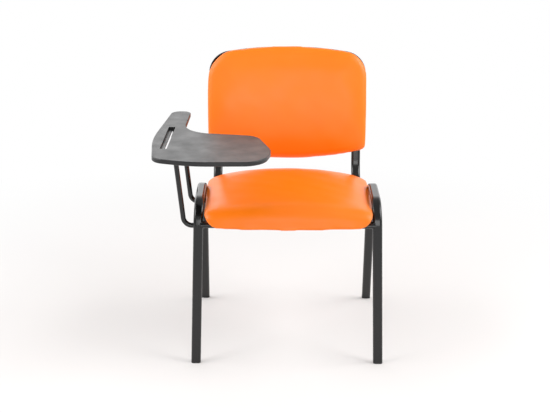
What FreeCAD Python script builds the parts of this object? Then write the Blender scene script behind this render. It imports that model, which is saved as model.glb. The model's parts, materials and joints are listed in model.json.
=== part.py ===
import FreeCAD, Part
import math
import os

# Stacking visitor chair with an upholstered seat and back, an oval-tube steel frame
# and a writing tablet that folds up about a tube at the sitter's right hand.
# While it is modelled, X = 0 is the chair's middle plane, Y = 0 the front feet and +Y the rear.
# The finished pieces move together so that the origin is the middle of the footprint, on the floor.

Vector = FreeCAD.Vector

# Oval steel tube of the frame
TUBE_WIDE = 27.0
TUBE_THIN = 15.0
TUBE_WALL = 1.5
BEND_RADIUS = 70.0

# Side frames, each one bent tube with a front and a rear leg
ARCH_HEIGHT = 457.0
FRONT_SETBACK = 43.4
ARCH_TOP_RUN = 211.6
REAR_SETBACK = 212.0
SIDE_SPLAY = 1.5
FLOOR_OVERRUN = 40.0

# Foot inserts
SOLE_HEIGHT = 6.0
INSERT_LENGTH = 22.0
INSERT_CLEARANCE = 0.15

# Crossbars, below the top of the side frames
BAR_DROP = 55.5

# Rails that carry the seat and rise into the back
RAIL_INSET = 21.0
RAIL_FRONT_LAP = 7.7
RAIL_RUN = 378.0
BACK_LEAN = 9.0
UPRIGHT_LENGTH = 300.0
RAIL_CAP = 2.5
RAIL_CAP_CHAMFER = 1.2

# Seat cushion
SEAT_WIDTH = 460.0
SEAT_SIDE_GAP = 3.0
SEAT_CROWN = 45.0
SEAT_EDGE_RISE = 22.0
SEAT_WIDEST_RISE = 15.0
SEAT_REAR_OVERHANG = 34.0
SEAT_REAR_ROLL = 60.0
SEAT_CORNER_REAR = 95.0
SEAT_CORNER_FRONT = 42.0
SEAT_TIP_THICKNESS = 7.0
SEAT_EDGE_ROLL_SHARE = 0.5
WATERFALL_RADIUS = 32.0
WATERFALL_ANGLE = 52.0
WATERFALL_TIP = 6.0
SEAT_LIP_RISE = 21.0
COVER = 1.2
COVER_MARGIN = 28.0
PAN = 2.0
SEAT_BOARD = 11.0
SEAT_BOARD_EDGE = 14.0
SEAT_BOARD_CORNER = 50.0
SEAT_BOARD_BEND_SHARE = 0.75

# Back cushion
BACK_WIDER = 10.0
BACK_HEIGHT = 336.0
BACK_LOW = 67.0
BACK_CURVE = 1300.0
BACK_TOP_BOW = 25.0
BACK_LOW_BOW = 30.0
BACK_TOP_CORNER = 73.0
BACK_LOW_CORNER = 14.0
BACK_CROWN = 45.0
BACK_EDGE_DEPTH = 32.0
BACK_SIDE_DEPTH = 15.0
BACK_SIDE_CROWN = 18.0
BACK_FULLEST_SHARE = 0.4
BACK_ROLL = 20.0
BACK_DRAW_IN = 6.0
BACK_BOARD = 11.0
BACK_BOARD_EDGE = 10.0
LEAST_CORNER = 4.0
UPRIGHT_GAP = 0.3
SHELL_WALL = 2.5
SHELL_GAP = 1.0
SHELL_INSET = 0.6
SHELL_TOP_CORNER = 66.0
SHELL_ROUND = 7.0
NOTCH_CLEARANCE = 1.0

# Bolts, washers and nuts that hold seat and back
BOLT_RADIUS = 3.0
BOLT_CLEARANCE = 0.25
THREAD_CLEARANCE = 0.05
HEAD_RADIUS = 6.0
HEAD_HEIGHT = 3.5
HEAD_CHAMFER = 1.2
SOCKET_RADIUS = 2.0
SOCKET_DEPTH = 2.0
WASHER_RADIUS = 8.0
WASHER_HEIGHT = 1.2
NUT_BARREL_RADIUS = 4.2
NUT_FLANGE_RADIUS = 9.0
NUT_FLANGE_HEIGHT = 1.2
NUT_DEPTH_SHARE = 0.8
SEAT_BOLT_FRONT = 50.0
SEAT_BOLT_REAR = 205.0
BACK_BOLT_LOW = 130.0
BACK_BOLT_HIGH = 240.0
SHELL_HOLE_CLEARANCE = 1.0

# Bent tube that carries the tablet
ROD_RADIUS = 7.0
ROD_WALL = 1.5
ROD_CONTACT_ANGLE = 36.0
ROD_INNER_REACH = 100.0
ROD_STANDOFF = 39.8
ROD_RISE = 247.7
ROD_LEAN_OUT = 26.0
ROD_LOW_BEND = 25.0
ROD_TOP_BEND = 30.0

# Writing tablet
TABLET_TOE = 1.5
TABLET_LENGTH = 510.0
TABLET_WIDTH = 320.0
TABLET_THICKNESS = 12.0
TABLET_EDGE_ROUND = 2.5
TABLET_AXIS_ACROSS_SHARE = 0.15
TABLET_AXIS_ALONG_SHARE = 0.545
TABLET_LIFT = 0.3
TABLET_FLOOR = 7.5
TABLET_RIM = 8.0
TABLET_PAD = 4.0
RIB_THICKNESS = 2.5
RIB_SPACING = 62.0
SLOT_LENGTH = 215.0
SLOT_WIDTH = 18.2
SLOT_ROUND = 3.0
SLOT_WALL = 5.0
SLOT_ACROSS = -7.1
SLOT_ALONG = -52.0

# Corners of the tablet's outline as shares of its width and length, from the outer front corner,
# each with its rounding as a share of the width
TABLET_OUTLINE_SHARES = (
    (0.072, 1.000, 0.085),
    (0.241, 0.998, 0.07),
    (0.240, 0.5565, 0.275),
    (0.869, 0.498, 0.156),
    (1.009, 0.2216, 0.406),
    (0.947, 0.0196, 0.203),
    (0.390, 0.000, 0.80),
    (0.068, 0.060, 0.13),
    (0.000, 0.420, 2.20),
)

# Saddles that hang the tablet on its tube
SADDLE_THICKNESS = 1.5
SADDLE_WIDTH = 26.0
SADDLE_FLANGE = 15.0
SADDLE_CORNER = 3.75
SADDLE_FRONT = 81.0
SADDLE_REAR = 152.0
HINGE_CLEARANCE = 0.06
SCREW_RADIUS = 2.0
SCREW_HEAD_RADIUS = 4.0
SCREW_HEAD_FACE = 2.0
SCREW_HEAD_HEIGHT = 1.6
SCREW_LENGTH = 9.0

# Stop arm with its rubber buffer
ARM_THICKNESS = 4.0
ARM_WIDTH = 26.0
ARM_CORNER = 8.7
ARM_ROOT_CORNER = 2.6
ARM_ALONG = 46.0
ARM_REACH_ACROSS = 78.0
ARM_REACH_ALONG = 74.0
BUFFER_RADIUS = 9.0
BUFFER_STEM_RADIUS = 3.0
BUFFER_STEM_GRIP = 1.3

# Stations of the cushions, as shares of the reach that they follow
ROLL_SHARES = (0.0, 0.03, 0.09, 0.18, 0.3, 0.45, 0.63, 1.0)
WATERFALL_SHARES = (0.0, 0.16, 0.33, 0.5, 0.67, 0.84)
TIP_SHARES = (0.0, 0.35, 0.7, 0.92, 1.0)
SIDE_SHARES = (0.0, 0.17, 0.34, 0.5, 0.63, 0.74, 0.83, 0.9, 0.945, 0.97, 0.988, 1.0)
DEPTH_POWER = 4.0

# One overrun serves every cut, and the cushions reach past their flat faces before they are cut flat
OVERRUN = 5.0
CUSHION_OVERRUN = 6.0

# Places closer than this count as the same place
SAME_PLACE = 0.001

X_AXIS = Vector(1, 0, 0)
Y_AXIS = Vector(0, 1, 0)
Z_AXIS = Vector(0, 0, 1)


# Levels and places that follow from the sizes

def bar_z():
    return ARCH_HEIGHT - BAR_DROP


def rail_z():
    return bar_z() + TUBE_THIN


def seat_base_z():
    return rail_z() + TUBE_THIN / 2


def side_x(z):
    widest_z = seat_base_z() + SEAT_WIDEST_RISE
    at_seat = SEAT_WIDTH / 2 + SEAT_SIDE_GAP + TUBE_WIDE / 2
    return at_seat + (widest_z - z) * math.tan(math.radians(SIDE_SPLAY))


def front_bar_y():
    return FRONT_SETBACK * bar_z() / ARCH_HEIGHT


def rear_bar_y():
    return FRONT_SETBACK + ARCH_TOP_RUN + REAR_SETBACK * BAR_DROP / ARCH_HEIGHT


def rail_x():
    return SEAT_WIDTH / 2 - RAIL_INSET


def back_half():
    return (SEAT_WIDTH + BACK_WIDER) / 2


def rail_front_y():
    return front_bar_y() - RAIL_FRONT_LAP


def rail_corner_y():
    return rail_front_y() + RAIL_RUN


def rail_bend_y():
    turn = math.radians(90 - BACK_LEAN)
    return rail_corner_y() - BEND_RADIUS * math.tan(turn / 2)


def rod_drop():
    return (TUBE_THIN / 2 + ROD_RADIUS) * math.sin(math.radians(ROD_CONTACT_ANGLE))


def rod_offset():
    beside = (TUBE_THIN / 2 + ROD_RADIUS) * math.cos(math.radians(ROD_CONTACT_ANGLE))
    return (TUBE_WIDE - TUBE_THIN) / 2 + beside


def rod_z():
    return bar_z() - rod_drop()


def rod_front_y():
    return front_bar_y() + rod_offset()


def rod_rear_y():
    return rear_bar_y() - rod_offset()


def rod_x():
    return -(side_x(rod_z()) + ROD_STANDOFF)


def rod_toe_in():
    return (rod_rear_y() - rod_front_y()) * math.tan(math.radians(TABLET_TOE))


def hinge_z():
    return rod_z() + ROD_RISE


def hinge_origin():
    return Vector(rod_x() - ROD_LEAN_OUT, rod_front_y(), hinge_z())


def tablet_underside():
    return ROD_RADIUS + TABLET_LIFT


# Building blocks

def rounded_path(points, radius):
    edges = []
    start = points[0]
    for before, corner, after in zip(points, points[1:], points[2:]):
        to_before = (before - corner).normalize()
        to_after = (after - corner).normalize()
        half = to_before.getAngle(to_after) / 2
        reach = radius / math.tan(half)
        enter = corner + to_before * reach
        leave = corner + to_after * reach
        inward = (to_before + to_after).normalize()
        middle = corner + inward * (radius / math.sin(half) - radius)
        edges.append(Part.makeLine(start, enter))
        edges.append(Part.Arc(enter, middle, leave).toShape())
        start = leave
    edges.append(Part.makeLine(start, points[-1]))
    return edges


def rounded_outline(corners):
    # Closed outline of straight runs joined by tangent arcs; each corner is a point and its radius
    edges = []
    leaves = []
    arcs = []
    count = len(corners)
    for index in range(count):
        before = corners[index - 1][0]
        corner, radius = corners[index]
        after = corners[(index + 1) % count][0]
        to_before = (before - corner).normalize()
        to_after = (after - corner).normalize()
        half = to_before.getAngle(to_after) / 2
        reach = radius / math.tan(half)
        inward = (to_before + to_after).normalize()
        middle = corner + inward * (radius / math.sin(half) - radius)
        enter = corner + to_before * reach
        leave = corner + to_after * reach
        arcs.append((enter, Part.Arc(enter, middle, leave).toShape()))
        leaves.append(leave)
    for index in range(count):
        edges.append(Part.makeLine(leaves[index - 1], arcs[index][0]))
        edges.append(arcs[index][1])
    return Part.Wire(edges)


def oval_wire(centre, wide_way, thin_way, wide, thin):
    flat = wide_way * ((wide - thin) / 2)
    side = thin_way * (thin / 2)
    round_end = wide_way * (wide / 2)
    top = Part.makeLine(centre - flat + side, centre + flat + side)
    right = Part.Arc(centre + flat + side, centre + round_end, centre + flat - side).toShape()
    low = Part.makeLine(centre + flat - side, centre - flat - side)
    left = Part.Arc(centre - flat - side, centre - round_end, centre - flat + side).toShape()
    return Part.Wire([top, right, low, left])


def swept(edges, section, steady_way):
    shell = Part.BRepOffsetAPI.MakePipeShell(Part.Wire(edges))
    shell.setBiNormalMode(steady_way)
    shell.add(section, False, False)
    shell.build()
    shell.makeSolid()
    return shell.shape()


def oval_bar(points, radius, shrink):
    # A bent oval bar whose wide side lies along X
    edges = rounded_path(points, radius)
    ahead = (points[1] - points[0]).normalize()
    thin_way = ahead.cross(X_AXIS)
    section = oval_wire(points[0], X_AXIS, thin_way, TUBE_WIDE - 2 * shrink, TUBE_THIN - 2 * shrink)
    return swept(edges, section, X_AXIS)


def box_between(low, high):
    size = high - low
    return Part.makeBox(size.x, size.y, size.z, low)


def slab(low_z, high_z):
    half = SEAT_WIDTH + TUBE_WIDE
    low = Vector(-half, -half, low_z)
    high = Vector(half, half + ARCH_TOP_RUN + REAR_SETBACK, high_z)
    return box_between(low, high)


def edges_in_plane(shape, point, normal):
    found = []
    for edge in shape.Edges:
        spots = [vertex.Point for vertex in edge.Vertexes] + [edge.CenterOfMass]
        if max(abs((spot - point).dot(normal)) for spot in spots) < SAME_PLACE:
            found.append(edge)
    return found


def one_solid(shape):
    return shape.Solids[0] if len(shape.Solids) == 1 else shape


# Side frames and their feet

def leg_solid(side, shrink):
    # The bent outline of one side frame as a full bar; side is 1 at +X and -1 at -X
    below = FLOOR_OVERRUN / ARCH_HEIGHT
    rear_corner = FRONT_SETBACK + ARCH_TOP_RUN
    points = [
        Vector(0, -FRONT_SETBACK * below, -ARCH_HEIGHT * below),
        Vector(0, FRONT_SETBACK, ARCH_HEIGHT),
        Vector(0, rear_corner, ARCH_HEIGHT),
        Vector(0, rear_corner + REAR_SETBACK * (1 + below), -ARCH_HEIGHT * below),
    ]
    bar = oval_bar(points, BEND_RADIUS, shrink)
    widest_z = seat_base_z() + SEAT_WIDEST_RISE
    bar.rotate(Vector(0, 0, widest_z), Y_AXIS, -side * SIDE_SPLAY)
    bar.translate(Vector(side * side_x(widest_z), 0, 0))
    return bar


def side_frame(side):
    tube = leg_solid(side, 0).cut(leg_solid(side, TUBE_WALL))
    return tube.cut(slab(-FLOOR_OVERRUN - OVERRUN * 2, SOLE_HEIGHT))


def foot(side, rear):
    # The sole continues the leg to the floor and the insert stands inside the tube
    sole = leg_solid(side, 0).common(slab(0, SOLE_HEIGHT))
    insert = leg_solid(side, TUBE_WALL + INSERT_CLEARANCE).common(slab(0, SOLE_HEIGHT + INSERT_LENGTH))
    both = sole.fuse(insert)
    middle = (FRONT_SETBACK + ARCH_TOP_RUN + REAR_SETBACK) / 2
    solids = [solid for solid in both.Solids if (solid.CenterOfMass.y > middle) == rear]
    return solids[0]


# Crossbars

def crossbar(y):
    # The ends are coped round the legs that they meet
    half = side_x(bar_z()) - TUBE_WIDE / 2 + TUBE_THIN / 2
    start = Vector(-half, y, bar_z())
    inner_wide = TUBE_WIDE - 2 * TUBE_WALL
    inner_thin = TUBE_THIN - 2 * TUBE_WALL
    outer = Part.Face(oval_wire(start, Y_AXIS, Z_AXIS, TUBE_WIDE, TUBE_THIN))
    inner = Part.Face(oval_wire(start, Y_AXIS, Z_AXIS, inner_wide, inner_thin))
    length = Vector(2 * half, 0, 0)
    bar = outer.extrude(length).cut(inner.extrude(length))
    return bar.cut(leg_solid(1, 0)).cut(leg_solid(-1, 0))


# Rails under the seat and up into the back

def rail_points():
    lean = math.radians(BACK_LEAN)
    corner = Vector(0, rail_corner_y(), rail_z())
    top = corner + Vector(0, math.sin(lean), math.cos(lean)) * UPRIGHT_LENGTH
    return [Vector(0, rail_front_y(), rail_z()), corner, top]


def seat_rail(side):
    outer = oval_bar(rail_points(), BEND_RADIUS, 0)
    inner = oval_bar(rail_points(), BEND_RADIUS, TUBE_WALL)
    tube = outer.cut(inner)
    tube.translate(Vector(side * rail_x(), 0, 0))
    for bolt in seat_bolt_places() + back_bolt_places():
        tube = tube.cut(bolt_hole(bolt))
    return tube


def rail_plug(side):
    # Cap and insert at the front end of a rail
    front = Vector(side * rail_x(), rail_front_y(), rail_z())
    tip = front - Y_AXIS * RAIL_CAP
    cap = Part.Face(oval_wire(front, X_AXIS, Z_AXIS, TUBE_WIDE, TUBE_THIN)).extrude(tip - front)
    cap = cap.makeChamfer(RAIL_CAP_CHAMFER, edges_in_plane(cap, tip, Y_AXIS))
    wide = TUBE_WIDE - 2 * TUBE_WALL - 2 * INSERT_CLEARANCE
    thin = TUBE_THIN - 2 * TUBE_WALL - 2 * INSERT_CLEARANCE
    insert = Part.Face(oval_wire(front, X_AXIS, Z_AXIS, wide, thin)).extrude(Vector(0, INSERT_LENGTH, 0))
    return cap.fuse(insert).removeSplitter()


# Bolts: each place is the bolt's seat on the steel, its way in, and the depth to the board's far face

def seat_bolt_places():
    places = []
    for side in (-1, 1):
        for along in (SEAT_BOLT_FRONT, SEAT_BOLT_REAR):
            seat = Vector(side * rail_x(), rail_front_y() + along, rail_z() - TUBE_THIN / 2)
            places.append((seat, Z_AXIS, TUBE_THIN + PAN + COVER + SEAT_BOARD))
    return places


def back_bolt_places():
    lean = math.radians(BACK_LEAN)
    up = Vector(0, math.sin(lean), math.cos(lean))
    forward = Vector(0, -math.cos(lean), math.sin(lean))
    corner = Vector(0, rail_corner_y(), rail_z())
    depth = TUBE_THIN / 2 - back_rear_y(rail_x()) + BACK_BOARD
    places = []
    for side in (-1, 1):
        for height in (BACK_BOLT_LOW, BACK_BOLT_HIGH):
            seat = corner + up * height - forward * (TUBE_THIN / 2) + Vector(side * rail_x(), 0, 0)
            places.append((seat, forward, depth))
    return places


def bolt_hole(place):
    seat, inward, depth = place
    start = seat - inward * OVERRUN
    return Part.makeCylinder(BOLT_RADIUS + BOLT_CLEARANCE, depth + 2 * OVERRUN, start, inward)


def bolt(place, washer):
    seat, inward, depth = place
    under = seat - inward * washer
    top = under - inward * HEAD_HEIGHT
    head = Part.makeCylinder(HEAD_RADIUS, HEAD_HEIGHT, top, inward)
    head = head.makeChamfer(HEAD_CHAMFER, edges_in_plane(head, top, inward))
    socket = Part.makeCylinder(SOCKET_RADIUS, SOCKET_DEPTH, top, inward)
    shank = Part.makeCylinder(BOLT_RADIUS, depth + washer, under, inward)
    return head.cut(socket).fuse(shank).removeSplitter()


def washer_ring(place):
    seat, inward, depth = place
    ring = Part.makeCylinder(WASHER_RADIUS, WASHER_HEIGHT, seat - inward * WASHER_HEIGHT, inward)
    return ring.cut(bolt_hole(place))


def nut_body(place, board):
    # Barrel in the board and flange on its far face, without the thread's hole
    seat, inward, depth = place
    far = seat + inward * depth
    length = board * NUT_DEPTH_SHARE
    barrel = Part.makeCylinder(NUT_BARREL_RADIUS, length, far - inward * length, inward)
    flange = Part.makeCylinder(NUT_FLANGE_RADIUS, NUT_FLANGE_HEIGHT, far, inward)
    return barrel.fuse(flange).removeSplitter()


def t_nut(place, board):
    seat, inward, depth = place
    hole = Part.makeCylinder(BOLT_RADIUS + THREAD_CLEARANCE, depth + 2 * OVERRUN, seat, inward)
    return nut_body(place, board).cut(hole)


# Cushion forms

def quarter_rise(share):
    # Rises from 0 to 1 as a quarter circle does
    near = 1 - min(max(share, 0), 1)
    return math.sqrt(1 - near * near)


def pillow_section(base, normal, half, heights, draw_in, roll_in):
    # One cross-section of the seat: a flat base, two bulging sides and a crowned top
    def at(across, height):
        return base + X_AXIS * across + normal * height

    low, widest, edge, crown = heights
    low_right = at(half - draw_in, low)
    low_left = at(draw_in - half, low)
    top_right = at(half - roll_in, edge)
    top_left = at(roll_in - half, edge)
    bottom = Part.makeLine(low_left, low_right)
    right = Part.Arc(low_right, at(half, widest), top_right).toShape()
    top = Part.Arc(top_right, at(0, crown), top_left).toShape()
    left = Part.Arc(top_left, at(-half, widest), low_left).toShape()
    return Part.Wire([bottom, right, top, left])


def seat_path(distance):
    # Point and normal of the pan's lower face, measured forward from the board's rear edge
    flat = rail_bend_y() - rail_front_y()
    arc = WATERFALL_RADIUS * math.radians(WATERFALL_ANGLE)
    if distance <= flat:
        return Vector(0, rail_bend_y() - distance, seat_base_z()), Z_AXIS
    turn = min((distance - flat) / WATERFALL_RADIUS, math.radians(WATERFALL_ANGLE))
    normal = Vector(0, -math.sin(turn), math.cos(turn))
    centre = Vector(0, rail_front_y(), seat_base_z() - WATERFALL_RADIUS)
    point = centre + normal * WATERFALL_RADIUS
    if distance > flat + arc:
        ahead = Vector(0, -math.cos(turn), -math.sin(turn))
        point = point + ahead * (distance - flat - arc)
    return point, normal


def seat_stations():
    flat = rail_bend_y() - rail_front_y()
    arc = WATERFALL_RADIUS * math.radians(WATERFALL_ANGLE)
    reach = max(SEAT_REAR_ROLL, SEAT_CORNER_REAR)
    places = [-SEAT_REAR_OVERHANG + share * reach for share in ROLL_SHARES]
    places += [flat + share * arc for share in WATERFALL_SHARES]
    places += [flat + arc + share * WATERFALL_TIP for share in TIP_SHARES]
    return places


def seat_form(skin):
    # The whole seat cushion above its board's lower face, drawn in by the skin's thickness
    flat = rail_bend_y() - rail_front_y()
    arc = WATERFALL_RADIUS * math.radians(WATERFALL_ANGLE)
    end = flat + arc + WATERFALL_TIP
    half = SEAT_WIDTH / 2 - skin
    low = PAN + skin
    sections = []
    for place in seat_stations():
        from_rear = place + SEAT_REAR_OVERHANG
        from_tip = end - place
        rear_roll = quarter_rise(from_rear / SEAT_REAR_ROLL)
        rear_low = quarter_rise(from_rear / SEAT_REAR_OVERHANG)
        tip_roll = quarter_rise(from_tip / (arc + WATERFALL_TIP))
        bend = min(max((place - flat) / arc, 0), 1)
        rear_corner = SEAT_CORNER_REAR * (1 - quarter_rise(from_rear / SEAT_CORNER_REAR))
        tip_corner = SEAT_CORNER_FRONT * (1 - tip_roll)
        width = half - rear_corner - tip_corner
        tallest = SEAT_CROWN + (SEAT_LIP_RISE - SEAT_CROWN) * bend * bend
        middle = tallest / 2
        thin = SEAT_TIP_THICKNESS / 2
        crown = middle + thin + (tallest - middle - thin) * min(rear_roll, tip_roll) - skin
        base = low + (middle - thin - low) * (1 - rear_low)
        height = crown - base
        widest = base + height * SEAT_WIDEST_RISE / SEAT_CROWN
        edge = base + height * SEAT_EDGE_RISE / SEAT_CROWN
        draw_in = height * SEAT_BOARD / SEAT_CROWN
        past = CUSHION_OVERRUN * quarter_rise(place / SEAT_REAR_OVERHANG) * (1 - bend * bend)
        squeeze = 1 - 2 * skin / (end + SEAT_REAR_OVERHANG)
        point, normal = seat_path(skin - SEAT_REAR_OVERHANG + from_rear * squeeze)
        draw_in = draw_in * (1 + past / height)
        roll_in = height * SEAT_EDGE_ROLL_SHARE
        heights = (base - past, widest, edge, crown)
        sections.append(pillow_section(point, normal, width, heights, draw_in, roll_in))
    form = Part.makeLoft(sections, True, True)
    return form.cut(seat_sheet(-WATERFALL_RADIUS / 2, low, -OVERRUN, 0, WATERFALL_ANGLE))


def seat_sheet(low, high, edge_in, corner_radius, angle):
    # A flat sheet that bends down at the front, between two heights above the rails
    turn = math.radians(angle)
    centre = Vector(0, rail_front_y(), seat_base_z() - WATERFALL_RADIUS)
    edges = []
    ends = []
    for height in (low, high):
        radius = WATERFALL_RADIUS + height
        rear = Vector(0, rail_bend_y(), seat_base_z() + height)
        level = centre + Z_AXIS * radius
        half_way = centre + Vector(0, -math.sin(turn / 2), math.cos(turn / 2)) * radius
        tip = centre + Vector(0, -math.sin(turn), math.cos(turn)) * radius
        edges.append(Part.makeLine(rear, level))
        edges.append(Part.Arc(level, half_way, tip).toShape())
        ends.append((rear, tip))
    edges.append(Part.makeLine(ends[0][0], ends[1][0]))
    edges.append(Part.makeLine(ends[0][1], ends[1][1]))
    profile = Part.Face(Part.Wire(Part.__sortEdges__(edges)))
    half = SEAT_WIDTH / 2 - edge_in
    profile.translate(Vector(-half, 0, 0))
    sheet = profile.extrude(Vector(2 * half, 0, 0))
    if corner_radius == 0:
        return sheet
    front = rail_front_y() - (WATERFALL_RADIUS + high) * math.sin(turn)
    corners = [
        (Vector(-half, front, 0), corner_radius),
        (Vector(half, front, 0), corner_radius),
        (Vector(half, rail_bend_y(), 0), corner_radius),
        (Vector(-half, rail_bend_y(), 0), corner_radius),
    ]
    plan = Part.Face(rounded_outline(corners)).extrude(Vector(0, 0, seat_base_z() + SEAT_CROWN))
    return sheet.common(plan)


def seat_pan():
    pan = seat_sheet(0, PAN, SEAT_BOARD_EDGE, SEAT_BOARD_CORNER, WATERFALL_ANGLE)
    for place in seat_bolt_places():
        pan = pan.cut(bolt_hole(place))
    return pan


def seat_board_blank():
    # The board bends less far than the pan, so that foam fills the front edge
    low = PAN + COVER
    angle = WATERFALL_ANGLE * SEAT_BOARD_BEND_SHARE
    return seat_sheet(low, low + SEAT_BOARD, SEAT_BOARD_EDGE, SEAT_BOARD_CORNER, angle)


def with_nuts(shape, places, board):
    # Recesses for the nuts and their bolts
    for place in places:
        shape = shape.cut(nut_body(place, board)).cut(bolt_hole(place))
    return shape


def seat_foam():
    foam = seat_form(COVER).cut(seat_board_blank())
    return with_nuts(foam, seat_bolt_places(), SEAT_BOARD)


def seat_cover():
    # The skin turns in under the board and leaves a window over the pan
    skin = seat_form(0).cut(seat_form(COVER))
    half = SEAT_WIDTH / 2 - SEAT_BOARD_EDGE - COVER_MARGIN
    low = Vector(-half, rail_front_y() + COVER_MARGIN, seat_base_z())
    high = Vector(half, rail_bend_y() - COVER_MARGIN, seat_base_z() + PAN + 2 * COVER)
    skin = skin.cut(box_between(low, high))
    for place in seat_bolt_places():
        skin = skin.cut(bolt_hole(place))
    return skin


# Back: modelled upright about the rails' corner, then leaned back

def leaned(shape):
    shape.rotate(Vector(0, 0, 0), X_AXIS, -BACK_LEAN)
    shape.translate(Vector(0, rail_corner_y(), rail_z()))
    return shape


def back_sag(x):
    return BACK_CURVE - math.sqrt(BACK_CURVE * BACK_CURVE - x * x)


def back_rear_centre():
    # The cover behind the board clears the inner edge of the uprights' flat faces
    contact = rail_x() - (TUBE_WIDE - TUBE_THIN) / 2
    return back_sag(contact) - TUBE_THIN / 2 - UPRIGHT_GAP - COVER


def back_rear_y(x):
    return back_rear_centre() - back_sag(x)


def corner_drop(x, half, radius):
    inside = max(0, abs(x) - (half - radius))
    return radius - math.sqrt(max(0, radius * radius - inside * inside))


def back_section(x, skin):
    # A cross-section of the back at one side distance, reaching past its rear face
    half = back_half() - skin
    across = x / half
    low = BACK_LOW + skin + BACK_LOW_BOW * across * across + corner_drop(x, half, BACK_LOW_CORNER)
    top = BACK_LOW + BACK_HEIGHT - skin - BACK_TOP_BOW * across * across
    top = top - corner_drop(x, half, BACK_TOP_CORNER)
    fullness = math.sqrt(max(0, 1 - abs(across) ** DEPTH_POWER))
    edge = BACK_SIDE_DEPTH + (BACK_EDGE_DEPTH - BACK_SIDE_DEPTH) * fullness - skin
    crown = BACK_SIDE_CROWN + (BACK_CROWN - BACK_SIDE_CROWN) * fullness - skin
    fullest = edge * BACK_FULLEST_SHARE
    face = back_rear_y(x)
    low_rear = Vector(x, face + CUSHION_OVERRUN, low + BACK_DRAW_IN)
    top_rear = Vector(x, face + CUSHION_OVERRUN, top - BACK_DRAW_IN)
    top_front = Vector(x, face - edge, top - BACK_ROLL)
    low_front = Vector(x, face - edge, low + BACK_ROLL)
    rear_line = Part.makeLine(low_rear, top_rear)
    top_arc = Part.Arc(top_rear, Vector(x, face - fullest, top), top_front).toShape()
    front_arc = Part.Arc(top_front, Vector(x, face - crown, (low + top) / 2), low_front).toShape()
    low_arc = Part.Arc(low_front, Vector(x, face - fullest, low), low_rear).toShape()
    return Part.Wire([rear_line, top_arc, front_arc, low_arc])


def back_form(skin):
    # The whole back cushion, drawn in by the skin's thickness and cut to the back's curve behind
    half = back_half() - skin
    places = [-share for share in reversed(SIDE_SHARES[1:])] + list(SIDE_SHARES)
    sections = [back_section(share * half, skin) for share in places]
    return Part.makeLoft(sections, True, True).common(curve_front(COVER - skin))


def curve_front(rear_gap):
    # Everything in front of the back's curve; rear_gap moves it backwards from the board's rear face
    height = BACK_LOW + BACK_HEIGHT + OVERRUN
    centre = Vector(0, back_rear_centre() - BACK_CURVE, 0)
    return Part.makeCylinder(BACK_CURVE + rear_gap, height, centre)


def back_outline(inset, top_corner, low_y, high_y):
    # The back's outline seen from the front, as a thick block between two depths
    half = back_half() - inset
    low = BACK_LOW + inset
    top = BACK_LOW + BACK_HEIGHT - inset
    low_side = low + BACK_LOW_BOW
    top_side = top - BACK_TOP_BOW
    right_low = Vector(half, low_y, low_side)
    right_top = Vector(half, low_y, top_side)
    left_top = Vector(-half, low_y, top_side)
    left_low = Vector(-half, low_y, low_side)
    edges = [
        Part.Arc(left_low, Vector(0, low_y, low), right_low).toShape(),
        Part.makeLine(right_low, right_top),
        Part.Arc(right_top, Vector(0, low_y, top), left_top).toShape(),
        Part.makeLine(left_top, left_low),
    ]
    block = Part.Face(Part.Wire(edges)).extrude(Vector(0, high_y - low_y, 0))
    top_radius = max(top_corner - inset, LEAST_CORNER)
    low_radius = max(BACK_LOW_CORNER - inset, LEAST_CORNER)
    block = block.makeFillet(top_radius, corner_edges(block, half, top_side))
    return block.makeFillet(low_radius, corner_edges(block, half, low_side))


def corner_edges(block, half, height):
    # The two edges that run through a block at one height of its sides
    found = []
    for edge in block.Edges:
        middle = edge.CenterOfMass
        if max(abs(abs(middle.x) - half), abs(middle.z - height)) < SAME_PLACE:
            found.append(edge)
    return found


def back_board_blank():
    depth = back_sag(back_half()) + BACK_BOARD + OVERRUN
    near = back_rear_centre() - depth
    block = back_outline(BACK_BOARD_EDGE, BACK_TOP_CORNER, near, back_rear_centre() + OVERRUN)
    return leaned(block.common(curve_front(0)).cut(curve_front(-BACK_BOARD)))


def back_foam():
    foam = leaned(back_form(COVER)).cut(back_board_blank())
    return with_nuts(foam, back_bolt_places(), BACK_BOARD)


def back_cover():
    # The skin turns in behind the board and leaves a window that the shell covers
    skin = back_form(0).cut(back_form(COVER))
    front = back_rear_y(back_half()) - BACK_BOARD / 2
    inset = BACK_BOARD_EDGE + COVER_MARGIN
    window = back_outline(inset, BACK_TOP_CORNER, front, back_rear_centre() + OVERRUN)
    skin = leaned(skin.cut(window))
    for place in back_bolt_places():
        skin = skin.cut(bolt_hole(place))
    return skin


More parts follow.
